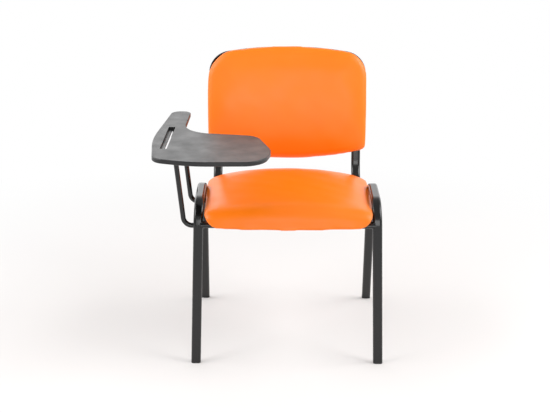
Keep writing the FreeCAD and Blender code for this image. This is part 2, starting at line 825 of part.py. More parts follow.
def back_shell():
    # A shallow tray behind the board, notched for the two uprights, with a hole over each bolt
    inner_y = max(TUBE_THIN / 2, back_rear_centre() + COVER) + SHELL_GAP
    outer_y = inner_y + SHELL_WALL
    front_y = back_rear_y(back_half())
    block = back_outline(SHELL_INSET, SHELL_TOP_CORNER, front_y, outer_y)
    block = block.makeFillet(SHELL_ROUND, edges_in_plane(block, Y_AXIS * outer_y, Y_AXIS))
    hollow = back_outline(SHELL_INSET + SHELL_WALL, SHELL_TOP_CORNER, front_y - OVERRUN, inner_y)
    hollow_edges = edges_in_plane(hollow, Y_AXIS * inner_y, Y_AXIS)
    hollow = hollow.makeFillet(SHELL_ROUND - SHELL_WALL, hollow_edges)
    tray = block.cut(hollow)
    tray = tray.cut(curve_front(COVER + UPRIGHT_GAP))
    for side in (-1, 1):
        start = Vector(side * rail_x(), 0, 0)
        wide = TUBE_WIDE + 2 * NOTCH_CLEARANCE
        thin = TUBE_THIN + 2 * NOTCH_CLEARANCE
        notch = Part.Face(oval_wire(start, X_AXIS, Y_AXIS, wide, thin)).extrude(Vector(0, 0, UPRIGHT_LENGTH))
        tray = tray.cut(notch)
    tray = leaned(tray)
    for seat, inward, depth in back_bolt_places():
        radius = HEAD_RADIUS + SHELL_HOLE_CLEARANCE
        tray = tray.cut(Part.makeCylinder(radius, TUBE_THIN, seat - inward * TUBE_THIN, inward))
    return tray


# Tablet and its support

def rod_points():
    front = hinge_origin()
    toe = Vector(rod_toe_in(), rod_rear_y() - rod_front_y(), 0)
    inner_x = ROD_INNER_REACH - side_x(rod_z())
    return [
        Vector(inner_x, rod_front_y(), rod_z()),
        Vector(rod_x(), rod_front_y(), rod_z()),
        front,
        front + toe,
        Vector(rod_x() + rod_toe_in(), rod_rear_y(), rod_z()),
        Vector(inner_x, rod_rear_y(), rod_z()),
    ]


def rod_path():
    # The two low corners and the two top corners have their own bend radii
    points = rod_points()
    middle = (points[2] + points[3]) * 0.5
    front_top = rounded_path([(points[1] + points[2]) * 0.5, points[2], middle], ROD_TOP_BEND)
    rear_top = rounded_path([middle, points[3], (points[3] + points[4]) * 0.5], ROD_TOP_BEND)
    front_low = rounded_path([points[0], points[1], (points[1] + points[2]) * 0.5], ROD_LOW_BEND)
    rear_low = rounded_path([(points[3] + points[4]) * 0.5, points[4], points[5]], ROD_LOW_BEND)
    return front_low + front_top + rear_top + rear_low


def rod_solid(radius):
    points = rod_points()
    circle = Part.Wire([Part.makeCircle(radius, points[0], points[1] - points[0])])
    shell = Part.BRepOffsetAPI.MakePipeShell(Part.Wire(rod_path()))
    shell.add(circle, False, False)
    shell.build()
    shell.makeSolid()
    return shell.shape()


def tablet_tube():
    return rod_solid(ROD_RADIUS).cut(rod_solid(ROD_RADIUS - ROD_WALL))


def on_hinge(shape):
    # Places a piece modelled at the hinge: X across, Y along the axis from its front corner, Z up
    shape.rotate(Vector(0, 0, 0), Z_AXIS, -TABLET_TOE)
    shape.translate(hinge_origin())
    return shape


def tablet_corner(across_share, along_share):
    across = (across_share - TABLET_AXIS_ACROSS_SHARE) * TABLET_WIDTH
    along = (along_share - TABLET_AXIS_ALONG_SHARE) * TABLET_LENGTH
    return Vector(across, along, tablet_underside())


def tablet_outline():
    corners = []
    for across_share, along_share, radius_share in TABLET_OUTLINE_SHARES:
        corners.append((tablet_corner(across_share, along_share), radius_share * TABLET_WIDTH))
    return rounded_outline(corners)


def tablet_board():
    board = Part.Face(tablet_outline()).extrude(Z_AXIS * TABLET_THICKNESS)
    low = Z_AXIS * tablet_underside()
    high = low + Z_AXIS * TABLET_THICKNESS
    rim = edges_in_plane(board, low, Z_AXIS) + edges_in_plane(board, high, Z_AXIS)
    board = board.makeFillet(TABLET_EDGE_ROUND, rim)
    board = board.cut(tablet_hollows()).cut(slot_block(0))
    for place in screw_places():
        board = board.cut(screw_hole(place))
    return on_hinge(board)


def tablet_hollows():
    # The moulded underside is hollow between its rim, its ribs, the slot's wall and the pads
    hollow = Part.Face(tablet_outline().makeOffset2D(-TABLET_RIM))
    hollow = hollow.extrude(Z_AXIS * (TABLET_THICKNESS - TABLET_FLOOR))
    hollow = hollow.cut(slot_block(SLOT_WALL))
    for pad in tablet_pads():
        hollow = hollow.cut(pad)
    for rib in tablet_ribs():
        hollow = hollow.cut(rib)
    return hollow


def tablet_pads():
    # Full-depth places for the two saddles and for the buffer
    low = tablet_underside() - OVERRUN
    high = tablet_underside() + TABLET_THICKNESS
    across = ROD_RADIUS + HINGE_CLEARANCE + SADDLE_THICKNESS + SADDLE_FLANGE + TABLET_PAD
    along = SADDLE_WIDTH / 2 + TABLET_PAD
    pads = []
    for place in (SADDLE_FRONT, SADDLE_REAR):
        pads.append(box_between(Vector(-across, place - along, low), Vector(across, place + along, high)))
    start, end = arm_line()
    pads.append(Part.makeCylinder(BUFFER_RADIUS + TABLET_PAD, high - low, end + Z_AXIS * low))
    return pads


def tablet_ribs():
    # Ribs at even steps along and across the hinge line
    low = tablet_underside() - OVERRUN
    high = tablet_underside() + TABLET_THICKNESS
    thin = RIB_THICKNESS / 2
    reach = TABLET_LENGTH
    steps = int(reach / RIB_SPACING)
    ribs = []
    for step in range(-steps, steps):
        place = (step + 0.5) * RIB_SPACING
        ribs.append(box_between(Vector(-reach, place - thin, low), Vector(reach, place + thin, high)))
        ribs.append(box_between(Vector(place - thin, -reach, low), Vector(place + thin, reach, high)))
    return ribs


def slot_block(wall):
    # The slot's outline through the tablet, grown by a wall
    half_width = SLOT_WIDTH / 2 + wall
    half_length = SLOT_LENGTH / 2 + wall
    low = tablet_underside() - OVERRUN
    corners = []
    for across, along in ((-1, -1), (1, -1), (1, 1), (-1, 1)):
        point = Vector(SLOT_ACROSS + across * half_width, SLOT_ALONG + along * half_length, low)
        corners.append((point, SLOT_ROUND + wall))
    return Part.Face(rounded_outline(corners)).extrude(Z_AXIS * (TABLET_THICKNESS + 2 * OVERRUN))


# Saddles: a half ring under the tube with a flange each side, screwed up into the tablet

def saddle(along):
    inner = ROD_RADIUS + HINGE_CLEARANCE
    outer = inner + SADDLE_THICKNESS
    reach = outer + SADDLE_FLANGE
    near = along - SADDLE_WIDTH / 2
    far = along + SADDLE_WIDTH / 2
    top = tablet_underside()
    ring = Part.makeCylinder(outer, SADDLE_WIDTH, Vector(0, near, 0), Y_AXIS)
    walls = box_between(Vector(-outer, near, 0), Vector(outer, far, top))
    flanges = box_between(Vector(-reach, near, top - SADDLE_THICKNESS), Vector(reach, far, top))
    upright = [edge for edge in flanges.Edges if edge.BoundBox.ZLength > SADDLE_THICKNESS / 2]
    flanges = flanges.makeFillet(SADDLE_CORNER, upright)
    body = ring.fuse(walls).fuse(flanges)
    body = body.cut(box_between(Vector(-reach, near, top), Vector(reach, far, top + outer)))
    body = body.cut(Part.makeCylinder(inner, SADDLE_WIDTH, Vector(0, near, 0), Y_AXIS))
    body = body.cut(box_between(Vector(-inner, near, 0), Vector(inner, far, top + OVERRUN)))
    for place in screw_places():
        hole_start = place - Z_AXIS * OVERRUN
        body = body.cut(Part.makeCylinder(SCREW_RADIUS + BOLT_CLEARANCE, 2 * OVERRUN, hole_start))
    return on_hinge(body.removeSplitter())


def screw_places():
    # On the tablet's underside, in the middle of each flange
    across = ROD_RADIUS + HINGE_CLEARANCE + SADDLE_THICKNESS + SADDLE_FLANGE / 2
    places = []
    for along in (SADDLE_FRONT, SADDLE_REAR):
        for side in (-1, 1):
            places.append(Vector(side * across, along, tablet_underside()))
    return places


def screw_hole(place):
    return Part.makeCylinder(SCREW_RADIUS + THREAD_CLEARANCE, SCREW_LENGTH + THREAD_CLEARANCE, place)


def saddle_screws():
    screws = []
    for place in screw_places():
        under = place - Z_AXIS * SADDLE_THICKNESS
        head_low = under - Z_AXIS * SCREW_HEAD_HEIGHT
        head = Part.makeCone(SCREW_HEAD_FACE, SCREW_HEAD_RADIUS, SCREW_HEAD_HEIGHT, head_low)
        shank = Part.makeCylinder(SCREW_RADIUS, SCREW_LENGTH + SADDLE_THICKNESS, under)
        screws.append(on_hinge(head.fuse(shank).removeSplitter()))
    return Part.makeCompound(screws)


# Stop arm: a flat bar welded to the tube that carries a buffer under the tablet

def arm_line():
    start = Vector(0, ARM_ALONG, 0)
    end = Vector(ARM_REACH_ACROSS, ARM_ALONG - ARM_REACH_ALONG, 0)
    return start, end


def stop_arm():
    start, end = arm_line()
    ahead = (end - start).normalize()
    aside = ahead.cross(Z_AXIS) * (ARM_WIDTH / 2)
    low = Vector(0, 0, -ARM_THICKNESS / 2)
    far = end + ahead * (ARM_WIDTH / 2)
    corners = [
        (start + aside + low, ARM_ROOT_CORNER),
        (far + aside + low, ARM_CORNER),
        (far - aside + low, ARM_CORNER),
        (start - aside + low, ARM_ROOT_CORNER),
    ]
    arm = Part.Face(rounded_outline(corners)).extrude(Vector(0, 0, ARM_THICKNESS))
    outer_low = Vector(-ARM_WIDTH, -ARM_ALONG, -ARM_THICKNESS)
    arm = arm.cut(box_between(outer_low, Vector(0, 2 * ARM_ALONG, ARM_THICKNESS)))
    hole = Part.makeCylinder(BUFFER_STEM_RADIUS, 2 * ARM_THICKNESS, end - Z_AXIS * ARM_THICKNESS)
    arm = on_hinge(arm.cut(hole))
    return arm.cut(rod_solid(ROD_RADIUS))


def stop_buffer():
    start, end = arm_line()
    base = end + Z_AXIS * (ARM_THICKNESS / 2)
    height = tablet_underside() - ARM_THICKNESS / 2
    pad = Part.makeCylinder(BUFFER_RADIUS, height, base)
    stem_length = ARM_THICKNESS + BUFFER_STEM_GRIP
    stem = Part.makeCylinder(BUFFER_STEM_RADIUS, stem_length, base - Z_AXIS * stem_length)
    return on_hinge(pad.fuse(stem).removeSplitter())


# The whole chair

def build_parts():
    parts = {
        "side_frame_left": side_frame(1),
        "side_frame_right": side_frame(-1),
        "front_crossbar": crossbar(front_bar_y()),
        "rear_crossbar": crossbar(rear_bar_y()),
        "seat_rail_left": seat_rail(1),
        "seat_rail_right": seat_rail(-1),
        "rail_plug_left": rail_plug(1),
        "rail_plug_right": rail_plug(-1),
        "foot_front_left": foot(1, False),
        "foot_front_right": foot(-1, False),
        "foot_rear_left": foot(1, True),
        "foot_rear_right": foot(-1, True),
        "seat_pan": seat_pan(),
        "seat_board": with_nuts(seat_board_blank(), seat_bolt_places(), SEAT_BOARD),
        "seat_foam": seat_foam(),
        "seat_cover": seat_cover(),
        "seat_bolts": Part.makeCompound([bolt(place, WASHER_HEIGHT) for place in seat_bolt_places()]),
        "seat_washers": Part.makeCompound([washer_ring(place) for place in seat_bolt_places()]),
        "seat_nuts": Part.makeCompound([t_nut(place, SEAT_BOARD) for place in seat_bolt_places()]),
        "back_board": with_nuts(back_board_blank(), back_bolt_places(), BACK_BOARD),
        "back_foam": back_foam(),
        "back_cover": back_cover(),
        "back_shell": back_shell(),
        "back_bolts": Part.makeCompound([bolt(place, 0) for place in back_bolt_places()]),
        "back_nuts": Part.makeCompound([t_nut(place, BACK_BOARD) for place in back_bolt_places()]),
        "tablet_tube": tablet_tube(),
        "tablet_stop_arm": stop_arm(),
        "tablet_buffer": stop_buffer(),
        "tablet_board": tablet_board(),
        "tablet_saddle_front": saddle(SADDLE_FRONT),
        "tablet_saddle_rear": saddle(SADDLE_REAR),
        "tablet_screws": saddle_screws(),
    }
    return parts


def footprint_shift(parts):
    # Moves the middle of the whole footprint to the origin
    box = Part.makeCompound(list(parts.values())).optimalBoundingBox(False, False)
    return Vector(-(box.XMin + box.XMax) / 2, -(box.YMin + box.YMax) / 2, -box.ZMin)


def main():
    os.makedirs("parts", exist_ok=True)
    parts = build_parts()
    shift = footprint_shift(parts)
    hinge = hinge_origin() + shift
    print("shift", shift, "hinge point", hinge)
    for name, shape in parts.items():
        shape = one_solid(shape)
        shape.translate(shift)
        shape.exportStep("parts/" + name + ".step")
        box = shape.optimalBoundingBox(False, False)
        print(name, len(shape.Solids), shape.isValid(), round(shape.Volume),
              [round(value, 1) for value in (box.XMin, box.XMax, box.YMin, box.YMax, box.ZMin, box.ZMax)])


main()
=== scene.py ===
"""Looks of a stacking visitor chair with a writing tablet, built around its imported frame."""

import json
import logging
import math
from collections.abc import Callable
from dataclasses import dataclass
from enum import Enum

import bmesh
import bpy
import numpy as np
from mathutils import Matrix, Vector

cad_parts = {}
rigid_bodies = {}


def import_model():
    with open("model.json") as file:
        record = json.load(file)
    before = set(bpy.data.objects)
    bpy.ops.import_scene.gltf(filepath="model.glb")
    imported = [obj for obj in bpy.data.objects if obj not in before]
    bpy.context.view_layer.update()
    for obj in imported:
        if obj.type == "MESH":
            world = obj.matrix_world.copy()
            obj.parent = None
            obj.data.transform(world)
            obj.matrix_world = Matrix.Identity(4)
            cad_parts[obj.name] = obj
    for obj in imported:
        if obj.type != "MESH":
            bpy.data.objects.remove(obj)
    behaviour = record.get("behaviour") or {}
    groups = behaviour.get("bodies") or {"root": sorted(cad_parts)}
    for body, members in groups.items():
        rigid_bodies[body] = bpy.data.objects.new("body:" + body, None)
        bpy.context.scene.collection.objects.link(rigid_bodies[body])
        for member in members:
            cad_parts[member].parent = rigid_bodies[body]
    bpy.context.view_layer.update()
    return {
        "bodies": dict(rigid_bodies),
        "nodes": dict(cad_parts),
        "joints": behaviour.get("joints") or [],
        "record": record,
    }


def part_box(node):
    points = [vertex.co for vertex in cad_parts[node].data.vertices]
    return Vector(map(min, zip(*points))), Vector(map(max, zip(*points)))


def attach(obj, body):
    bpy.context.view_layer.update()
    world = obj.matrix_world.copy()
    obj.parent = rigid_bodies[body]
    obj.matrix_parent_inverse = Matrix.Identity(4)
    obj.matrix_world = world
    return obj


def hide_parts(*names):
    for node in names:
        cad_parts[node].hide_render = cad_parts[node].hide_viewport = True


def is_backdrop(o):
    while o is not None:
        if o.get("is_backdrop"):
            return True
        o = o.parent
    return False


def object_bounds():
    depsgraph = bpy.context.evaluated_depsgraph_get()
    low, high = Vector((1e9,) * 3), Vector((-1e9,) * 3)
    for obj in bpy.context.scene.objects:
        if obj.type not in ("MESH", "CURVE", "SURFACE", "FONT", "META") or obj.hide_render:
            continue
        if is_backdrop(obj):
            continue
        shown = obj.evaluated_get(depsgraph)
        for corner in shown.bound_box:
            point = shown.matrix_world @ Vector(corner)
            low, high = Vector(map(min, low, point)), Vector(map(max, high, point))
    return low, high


LOG = logging.getLogger("chair")
Array = np.ndarray
Material = bpy.types.Material
Mesh = bpy.types.Mesh
Node = bpy.types.Node
Piece = bpy.types.Object
Socket = bpy.types.NodeSocket

MERGE = 2e-6  # points of a CAD node nearer than this are one point
SHARP = 32.0  # edges steeper than this many degrees stay sharp
TUBE_SHARP = 50.0  # the same on the bent tubes
BEAD_SHARP = 60.0  # the same on the weld beads
PAN_THICKNESS = 0.002  # sheet of the pan under the seat
NOISE_LOW, NOISE_HIGH = 0.3, 0.7  # most of a noise lies between these
PEBBLE_SMOOTHNESS = 0.4  # how softly the leatherette's pebbles meet
FIBRE_STRETCH = (0.05, 1.0, 1.0)  # scale that draws the wood's noise out along X


# Finishes


class Slot(Enum):
    """Material slots of the record."""

    FRAME = "frame_black"
    PLUG = "plug_black"
    SHELL = "shell_black"
    PLYWOOD = "plywood"
    FOAM = "foam"
    COVER = "orange_leatherette"
    ZINC = "zinc_steel"
    RUBBER = "rubber_black"
    TABLET = "tablet_black"


class Grain(Enum):
    """Patterns that a surface can carry."""

    POWDER = "powder"
    LEATHER = "leather"
    WOOD = "wood"


@dataclass(frozen=True)
class Finish:
    """How one material slot looks.

    Args:
        color: linear base colour.
        roughness: mean roughness.
        metallic: 0 for plastics and paint, 1 for bare metal.
        grain: the pattern of the surface.
        cell: size of one grain in metres.
        relief: height of the grain in metres.
        spread: how far the roughness strays from its mean.
        patch: size in metres of the patches in which it strays.
        shade: share by which the colour strays in those patches.
        coat: weight of a clear glossy coat.
        gloss: specular level, 0.5 for a common plastic.
    """

    color: tuple[float, float, float]
    roughness: float
    metallic: float = 0.0
    grain: Grain = Grain.POWDER
    cell: float = 0.001
    relief: float = 0.0
    spread: float = 0.0
    patch: float = 0.05
    shade: float = 0.0
    coat: float = 0.0
    gloss: float = 0.5


FINISHES: dict[Slot, Finish] = {
    Slot.FRAME: Finish((0.003, 0.003, 0.0031), 0.2, cell=0.0012, relief=8e-6, spread=0.05,
                       coat=0.12),
    Slot.PLUG: Finish((0.01, 0.01, 0.01), 0.5, cell=0.0007, relief=1e-5, spread=0.08),
    Slot.SHELL: Finish((0.01, 0.01, 0.011), 0.42, cell=0.0009, relief=3e-5, spread=0.05),
    Slot.PLYWOOD: Finish((0.5, 0.33, 0.17), 0.65, grain=Grain.WOOD, cell=0.004, relief=3e-5,
                         shade=0.3),
    Slot.FOAM: Finish((0.8, 0.72, 0.5), 0.95, cell=0.0015, relief=0.0002),
    Slot.COVER: Finish((1.0, 0.2, 0.0008), 0.4, grain=Grain.LEATHER, cell=0.0016, relief=1.8e-5,
                       spread=0.05, patch=0.09, shade=0.04, gloss=0.45),
    Slot.ZINC: Finish((0.6, 0.6, 0.62), 0.28, metallic=1.0, cell=0.0008, relief=6e-6, spread=0.1,
                      patch=0.01),
    Slot.RUBBER: Finish((0.012, 0.012, 0.012), 0.7, cell=0.0008, relief=2e-5),
    Slot.TABLET: Finish((0.004, 0.0039, 0.0046), 0.42, cell=0.0011, relief=1.2e-5, spread=0.07,
                        coat=0.2),
}


@dataclass(frozen=True)
class NodeBench:
    """Adds nodes to one tree and joins them.

    Args:
        tree: the tree that gets the nodes.
    """

    tree: bpy.types.NodeTree

    def fill(self, node: Node, inputs: dict[str | int, object]) -> None:
        """Sets inputs of a node.

        Args:
            node: the node.
            inputs: for an input's name or number its value, or the socket that feeds it.
        """
        for key, value in inputs.items():
            if isinstance(value, Socket):
                self.tree.links.new(value, node.inputs[key])
            else:
                node.inputs[key].default_value = value

    def add(self, kind: str, inputs: dict[str | int, object], **settings: object) -> Node:
        """Adds a node.

        Args:
            kind: its type.
            inputs: what fill takes.
            settings: its own properties.

        Returns:
            The node.
        """
        node = self.tree.nodes.new(kind)
        for name, value in settings.items():
            setattr(node, name, value)
        self.fill(node, inputs)
        return node

    def calculate(self, operation: str, one: Socket, two: Socket) -> Socket:
        """Joins two values; a sum or a product is clamped between 0 and 1.

        Args:
            operation: the Math node's operation.
            one: the first value.
            two: the second value.

        Returns:
            The result.
        """
        clamp = operation != "SUBTRACT"
        node = self.add("ShaderNodeMath", {0: one, 1: two}, operation=operation, use_clamp=clamp)
        return node.outputs["Value"]

    def step(self, value: Socket, limits: tuple[float, float]) -> Socket:
        """A soft step.

        Args:
            value: the value that is looked at.
            limits: where the step is still 0 and where it has reached 1.

        Returns:
            The step.
        """
        inputs = {"Value": value, "From Min": limits[0], "From Max": limits[1]}
        node = self.add("ShaderNodeMapRange", inputs, interpolation_type="SMOOTHSTEP")
        return node.outputs["Result"]


class FinishShop:
    """Makes one node material for each slot."""

    def __init__(self, finishes: dict[Slot, Finish]) -> None:
        """Builds every material.

        Args:
            finishes: the look of each slot.
        """
        self.made = {slot.value: self._material(slot, finish) for slot, finish in finishes.items()}

    def dress(self, piece: Piece, slot: str) -> None:
        """Gives a piece the material of one slot.

        Args:
            piece: the object.
            slot: the record's slot name.
        """
        piece.data.materials.clear()
        piece.data.materials.append(self.made[slot])

    def _material(self, slot: Slot, finish: Finish, coat_share: float = 0.6) -> Material:
        """Makes one material in object coordinates.

        Args:
            slot: the slot that it is named after.
            finish: its look.
            coat_share: roughness of the coat as a share of the surface's own.

        Returns:
            The material.
        """
        material = bpy.data.materials.new(slot.value)
        material.use_nodes = True
        bench = NodeBench(material.node_tree)
        shader = bench.tree.nodes["Principled BSDF"]
        bench.fill(shader, {
            "Base Color": (*finish.color, 1.0), "Roughness": finish.roughness,
            "Metallic": finish.metallic, "Specular IOR Level": finish.gloss,
            "Coat Weight": finish.coat, "Coat Roughness": finish.roughness * coat_share})
        place = bench.add("ShaderNodeTexCoord", {}).outputs["Object"]
        if finish.spread or finish.shade:
            patches = self._noise(bench, place, 1.0 / finish.patch, 3.0)
            if finish.spread:
                rough = self._range(bench, patches, finish.roughness - finish.spread,
                                    finish.roughness + finish.spread)
                bench.fill(shader, {"Roughness": rough})
            if finish.shade:
                bench.fill(shader, {"Base Color": self._shaded(bench, patches, finish)})
        height = self._height(bench, place, finish)
        bump = bench.add("ShaderNodeBump", {"Distance": finish.relief, "Height": height})
        bench.fill(shader, {"Normal": bump.outputs["Normal"]})
        return material

    def _height(self, bench: NodeBench, place: Socket, finish: Finish) -> Socket:
        """The height of a finish's grain.

        Args:
            bench: the material's nodes.
            place: the coordinates.
            finish: the look.

        Returns:
            The height, which the relief scales.
        """
        if finish.grain is Grain.LEATHER:
            return self._hide(bench, place, finish.cell)
        if finish.grain is Grain.WOOD:
            return self._fibres(bench, place, finish.cell)
        return self._noise(bench, place, 1.0 / finish.cell, 2.0)

    @staticmethod
    def _noise(bench: NodeBench, place: Socket, scale: float, detail: float) -> Socket:
        """Noise of a scale and a detail at a place; returns its height."""
        inputs = {"Vector": place, "Scale": scale, "Detail": detail}
        return bench.add("ShaderNodeTexNoise", inputs).outputs["Fac"]

    @staticmethod
    def _range(bench: NodeBench, value: Socket, low: float, high: float) -> Socket:
        """Spreads the middle of a noise over the range from low to high; returns the result."""
        inputs = {"Value": value, "From Min": NOISE_LOW, "From Max": NOISE_HIGH, "To Min": low,
                  "To Max": high}
        return bench.add("ShaderNodeMapRange", inputs).outputs["Result"]

    def _shaded(self, bench: NodeBench, patches: Socket, finish: Finish) -> Socket:
        """Mixes the colour with a darker one in patches.

        Args:
            bench: the material's nodes.
            patches: the noise that the patches follow.
            finish: the look, with the colour and the share by which it darkens.

        Returns:
            The colour.
        """
        dark = [channel * (1.0 - finish.shade) for channel in finish.color]
        inputs = {"Factor": self._range(bench, patches, 0.0, 1.0), "A": (*dark, 1.0),
                  "B": (*finish.color, 1.0)}
        return bench.add("ShaderNodeMix", inputs, data_type="RGBA").outputs["Result"]

    def _hide(self, bench: NodeBench, place: Socket, cell: float) -> Socket:
        """Embossed leatherette: fine noise less the distance from the middles of pebbled cells.

        Args:
            bench: the material's nodes.
            place: the coordinates.
            cell: size of a cell.

        Returns:
            The height.
        """
        inputs = {"Vector": place, "Scale": 1.0 / cell, "Smoothness": PEBBLE_SMOOTHNESS}
        cells = bench.add("ShaderNodeTexVoronoi", inputs, feature="SMOOTH_F1")
        fine = self._noise(bench, place, 0.4 / cell, 3.0)
        return bench.calculate("SUBTRACT", fine, cells.outputs["Distance"])

    def _fibres(self, bench: NodeBench, place: Socket, cell: float) -> Socket:
        """Noise that is stretched into long fibres along X; returns its height."""
        stretch = bench.add("ShaderNodeMapping", {"Vector": place, "Scale": FIBRE_STRETCH})
        return self._noise(bench, stretch.outputs["Vector"], 1.0 / cell, 4.0)


# Mesh tools


def new_piece(name: str, points: Array, faces: list) -> Piece:
    """Makes an object at the origin from points and faces.

    Args:
        name: the piece's name.
        points: an array of points, one a row.
        faces: lists of point numbers.

    Returns:
        The object, linked to the scene.
    """
    mesh = bpy.data.meshes.new(name)
    mesh.from_pydata(points.reshape(-1, 3).tolist(), [], faces)
    mesh.update()
    piece = bpy.data.objects.new(name, mesh)
    bpy.context.scene.collection.objects.link(piece)
    return piece


def ring_faces(rows: int, columns: int) -> list:
    """Faces of a grid of closed rings, with a cap at each end.

    Args:
        rows: number of rings.
        columns: points in one ring.

    Returns:
        The faces as lists of point numbers.
    """
    row, column = np.meshgrid(np.arange(rows - 1), np.arange(columns), indexing="ij")
    after = (column + 1) % columns
    quads = np.stack([row * columns + column, row * columns + after,
                      (row + 1) * columns + after, (row + 1) * columns + column], axis=-1)
    first = list(range(columns - 1, -1, -1))
    last = list(range((rows - 1) * columns, rows * columns))
    return quads.reshape(-1, 4).tolist() + [first, last]


def outward(piece: Piece) -> None:
    """Turns the faces of a closed piece outwards.

    Args:
        piece: the object.
    """
    work = bmesh.new()
    work.from_mesh(piece.data)
    bmesh.ops.recalc_face_normals(work, faces=work.faces)
    work.to_mesh(piece.data)
    work.free()


def coordinates(mesh: Mesh) -> Array:
    """A mesh's points as rows."""
    return rows_of(mesh.vertices, "co")


def point_normals(mesh: Mesh) -> Array:
    """The outward direction at each of a mesh's points."""
    return rows_of(mesh.vertex_normals, "vector")


def rows_of(items: bpy.types.bpy_prop_collection, attribute: str) -> Array:
    """Reads three numbers of every item of a mesh.

    Args:
        items: the items.
        attribute: the name under which they keep the numbers.

    Returns:
        The numbers as rows.
    """
    flat = np.zeros(len(items) * 3, np.float32)
    items.foreach_get(attribute, flat)
    return flat.reshape(-1, 3).astype(float)


def put_coordinates(mesh: Mesh, points: Array) -> None:
    """Writes rows of points into a mesh."""
    mesh.vertices.foreach_set("co", points.astype(np.float32).ravel())
    mesh.update()


def evened(mesh: Mesh, values: Array, times: int) -> Array:
    """Averages a value over the neighbours of each point, several times.

    Args:
        mesh: the mesh whose edges join the points.
        values: one value for each point.
        times: how often the mean is taken.

    Returns:
        The evened values.
    """
    flat = np.zeros(len(mesh.edges) * 2, np.int32)
    mesh.edges.foreach_get("vertices", flat)
    one, two = flat.reshape(-1, 2).T
    count = len(values)
    neighbours = np.bincount(one, minlength=count) + np.bincount(two, minlength=count)
    neighbours = np.maximum(1, neighbours)
    for _ in range(times):
        total = np.bincount(one, values[two], count) + np.bincount(two, values[one], count)
        values = (values + total / neighbours) / 2.0
    return values


def evaluated(piece: Piece) -> Mesh:
    """What a piece's modifiers make of its mesh, as a new mesh."""
    graph = bpy.context.evaluated_depsgraph_get()
    return bpy.data.meshes.new_from_object(piece.evaluated_get(graph))


def evenly_shaded(piece: Piece, sharp: float = SHARP, merge: float = 0.0) -> None:
    """Shades curved faces smoothly and keeps the edges that are steeper than an angle.

    Args:
        piece: the object.
        sharp: edges steeper than this many degrees stay sharp.
        merge: points nearer than this become one, for loose triangles that point outwards;
            0 for a piece made here, whose faces are turned outwards instead.
    """
    work = bmesh.new()
    work.from_mesh(piece.data)
    if merge:
        bmesh.ops.remove_doubles(work, verts=work.verts, dist=merge)
    else:
        bmesh.ops.recalc_face_normals(work, faces=work.faces)
    limit = math.radians(sharp)
    for edge in work.edges:
        edge.smooth = edge.calc_face_angle(0.0) < limit
    for face in work.faces:
        face.smooth = True
    work.to_mesh(piece.data)
    work.free()
    weighted = piece.modifiers.new("even shading", "WEIGHTED_NORMAL")
    weighted.keep_sharp = True
    weighted.weight = 100


def smooth_copy(node: Piece) -> Piece:
    """A merged copy of a CAD node whose curved faces shade smoothly.

    Args:
        node: the CAD node.

    Returns:
        The copy, which is named after the node.
    """
    copy = bpy.data.objects.new(node.name + "_finished", node.data.copy())
    bpy.context.scene.collection.objects.link(copy)
    evenly_shaded(copy, merge=MERGE)
    return copy


# Paths and profiles

SIDEWAYS = np.array((1.0, 0.0, 0.0))


def unit(rows: Array) -> Array:
    """Directions of length 1."""
    return rows / np.linalg.norm(rows, axis=-1, keepdims=True)


def bent_path(points: Array, radii: list[float],
              step: float = math.radians(4.0)) -> tuple[Array, Array]:
    """A path of straight runs joined by arcs that touch both runs.

    An arc's point is its centre plus the radius times the cosine of the turn along the spoke to
    its start and the sine along the way ahead there.

    Args:
        points: the ends and the corners.
        radii: bend radius of each corner.
        step: turn between neighbouring points of an arc.

    Returns:
        The points and the directions along the path.
    """
    places, ways = [points[0]], [unit(points[1] - points[0])]
    for before, corner, after, radius in zip(points, points[1:], points[2:], radii):
        to_before, to_after = unit(before - corner), unit(after - corner)
        half = math.acos(float(np.clip(to_before @ to_after, -1.0, 1.0))) / 2.0
        centre = corner + unit(to_before + to_after) * radius / math.sin(half)
        spoke = unit(corner + to_before * radius / math.tan(half) - centre)
        whole = math.pi - 2.0 * half
        turn = np.linspace(0.0, whole, max(3, round(whole / step)))[:, None]
        places.extend(centre + radius * (np.cos(turn) * spoke - np.sin(turn) * to_before))
        ways.extend(-np.cos(turn) * to_before - np.sin(turn) * spoke)
    places.append(points[-1])
    ways.append(unit(points[-1] - points[-2]))
    return np.array(places), np.array(ways)


def oval(wide: float, thin: float, steps: int = 12) -> Array:
    """Points round an oval of two straight sides and two half circles.

    Args:
        wide: its width.
        thin: its thickness.
        steps: steps round a half circle.

    Returns:
        The ways across and up as rows.
    """
    turn = np.linspace(-math.pi / 2, math.pi / 2, steps + 1)
    end = np.stack([(wide - thin) / 2 + thin / 2 * np.cos(turn), thin / 2 * np.sin(turn)], axis=1)
    return np.concatenate([end, -end])


def circle(radius: float, steps: int = 28) -> Array:
    """Points round a circle, as ways across and ways up."""
    turn = np.arange(steps) * 2.0 * math.pi / steps
    return radius * np.stack([np.cos(turn), np.sin(turn)], axis=1)


def swept_rings(places: Array, ways: Array, profile: Array, steady: Array) -> Array:
    """Rings of a profile carried along a path.

    A ring's point is the path's point plus the profile's way across times the part of the steady
    direction that is square to the path, plus its way up times the product of the path's direction
    and that.

    Args:
        places: points of the path.
        ways: directions of the path.
        profile: the profile's points, or one profile for each point of the path.
        steady: the direction that the profile's way across keeps.

    Returns:
        Rings by points by coordinates.
    """
    across = unit(steady - (ways @ steady)[:, None] * ways)
    up = np.cross(ways, across)
    profile = np.broadcast_to(profile, (len(places), *profile.shape[-2:]))
    return (places[:, None, :] + profile[:, :, :1] * across[:, None, :]
            + profile[:, :, 1:] * up[:, None, :])


# Padded pieces

UNDER_STEPS = 9  # points of a cushion's section from its base to its widest point
ROLL_STEPS = 13  # points of the roll from there onto the top
TOP_STEPS = 49  # points across the top
HOLD_TOP = 0.012  # foam higher than this over its board is free to move
HOLD_FADE = 0.008  # below that, the board's hold grows to full over this height
Hold = Callable[[Array], Array]


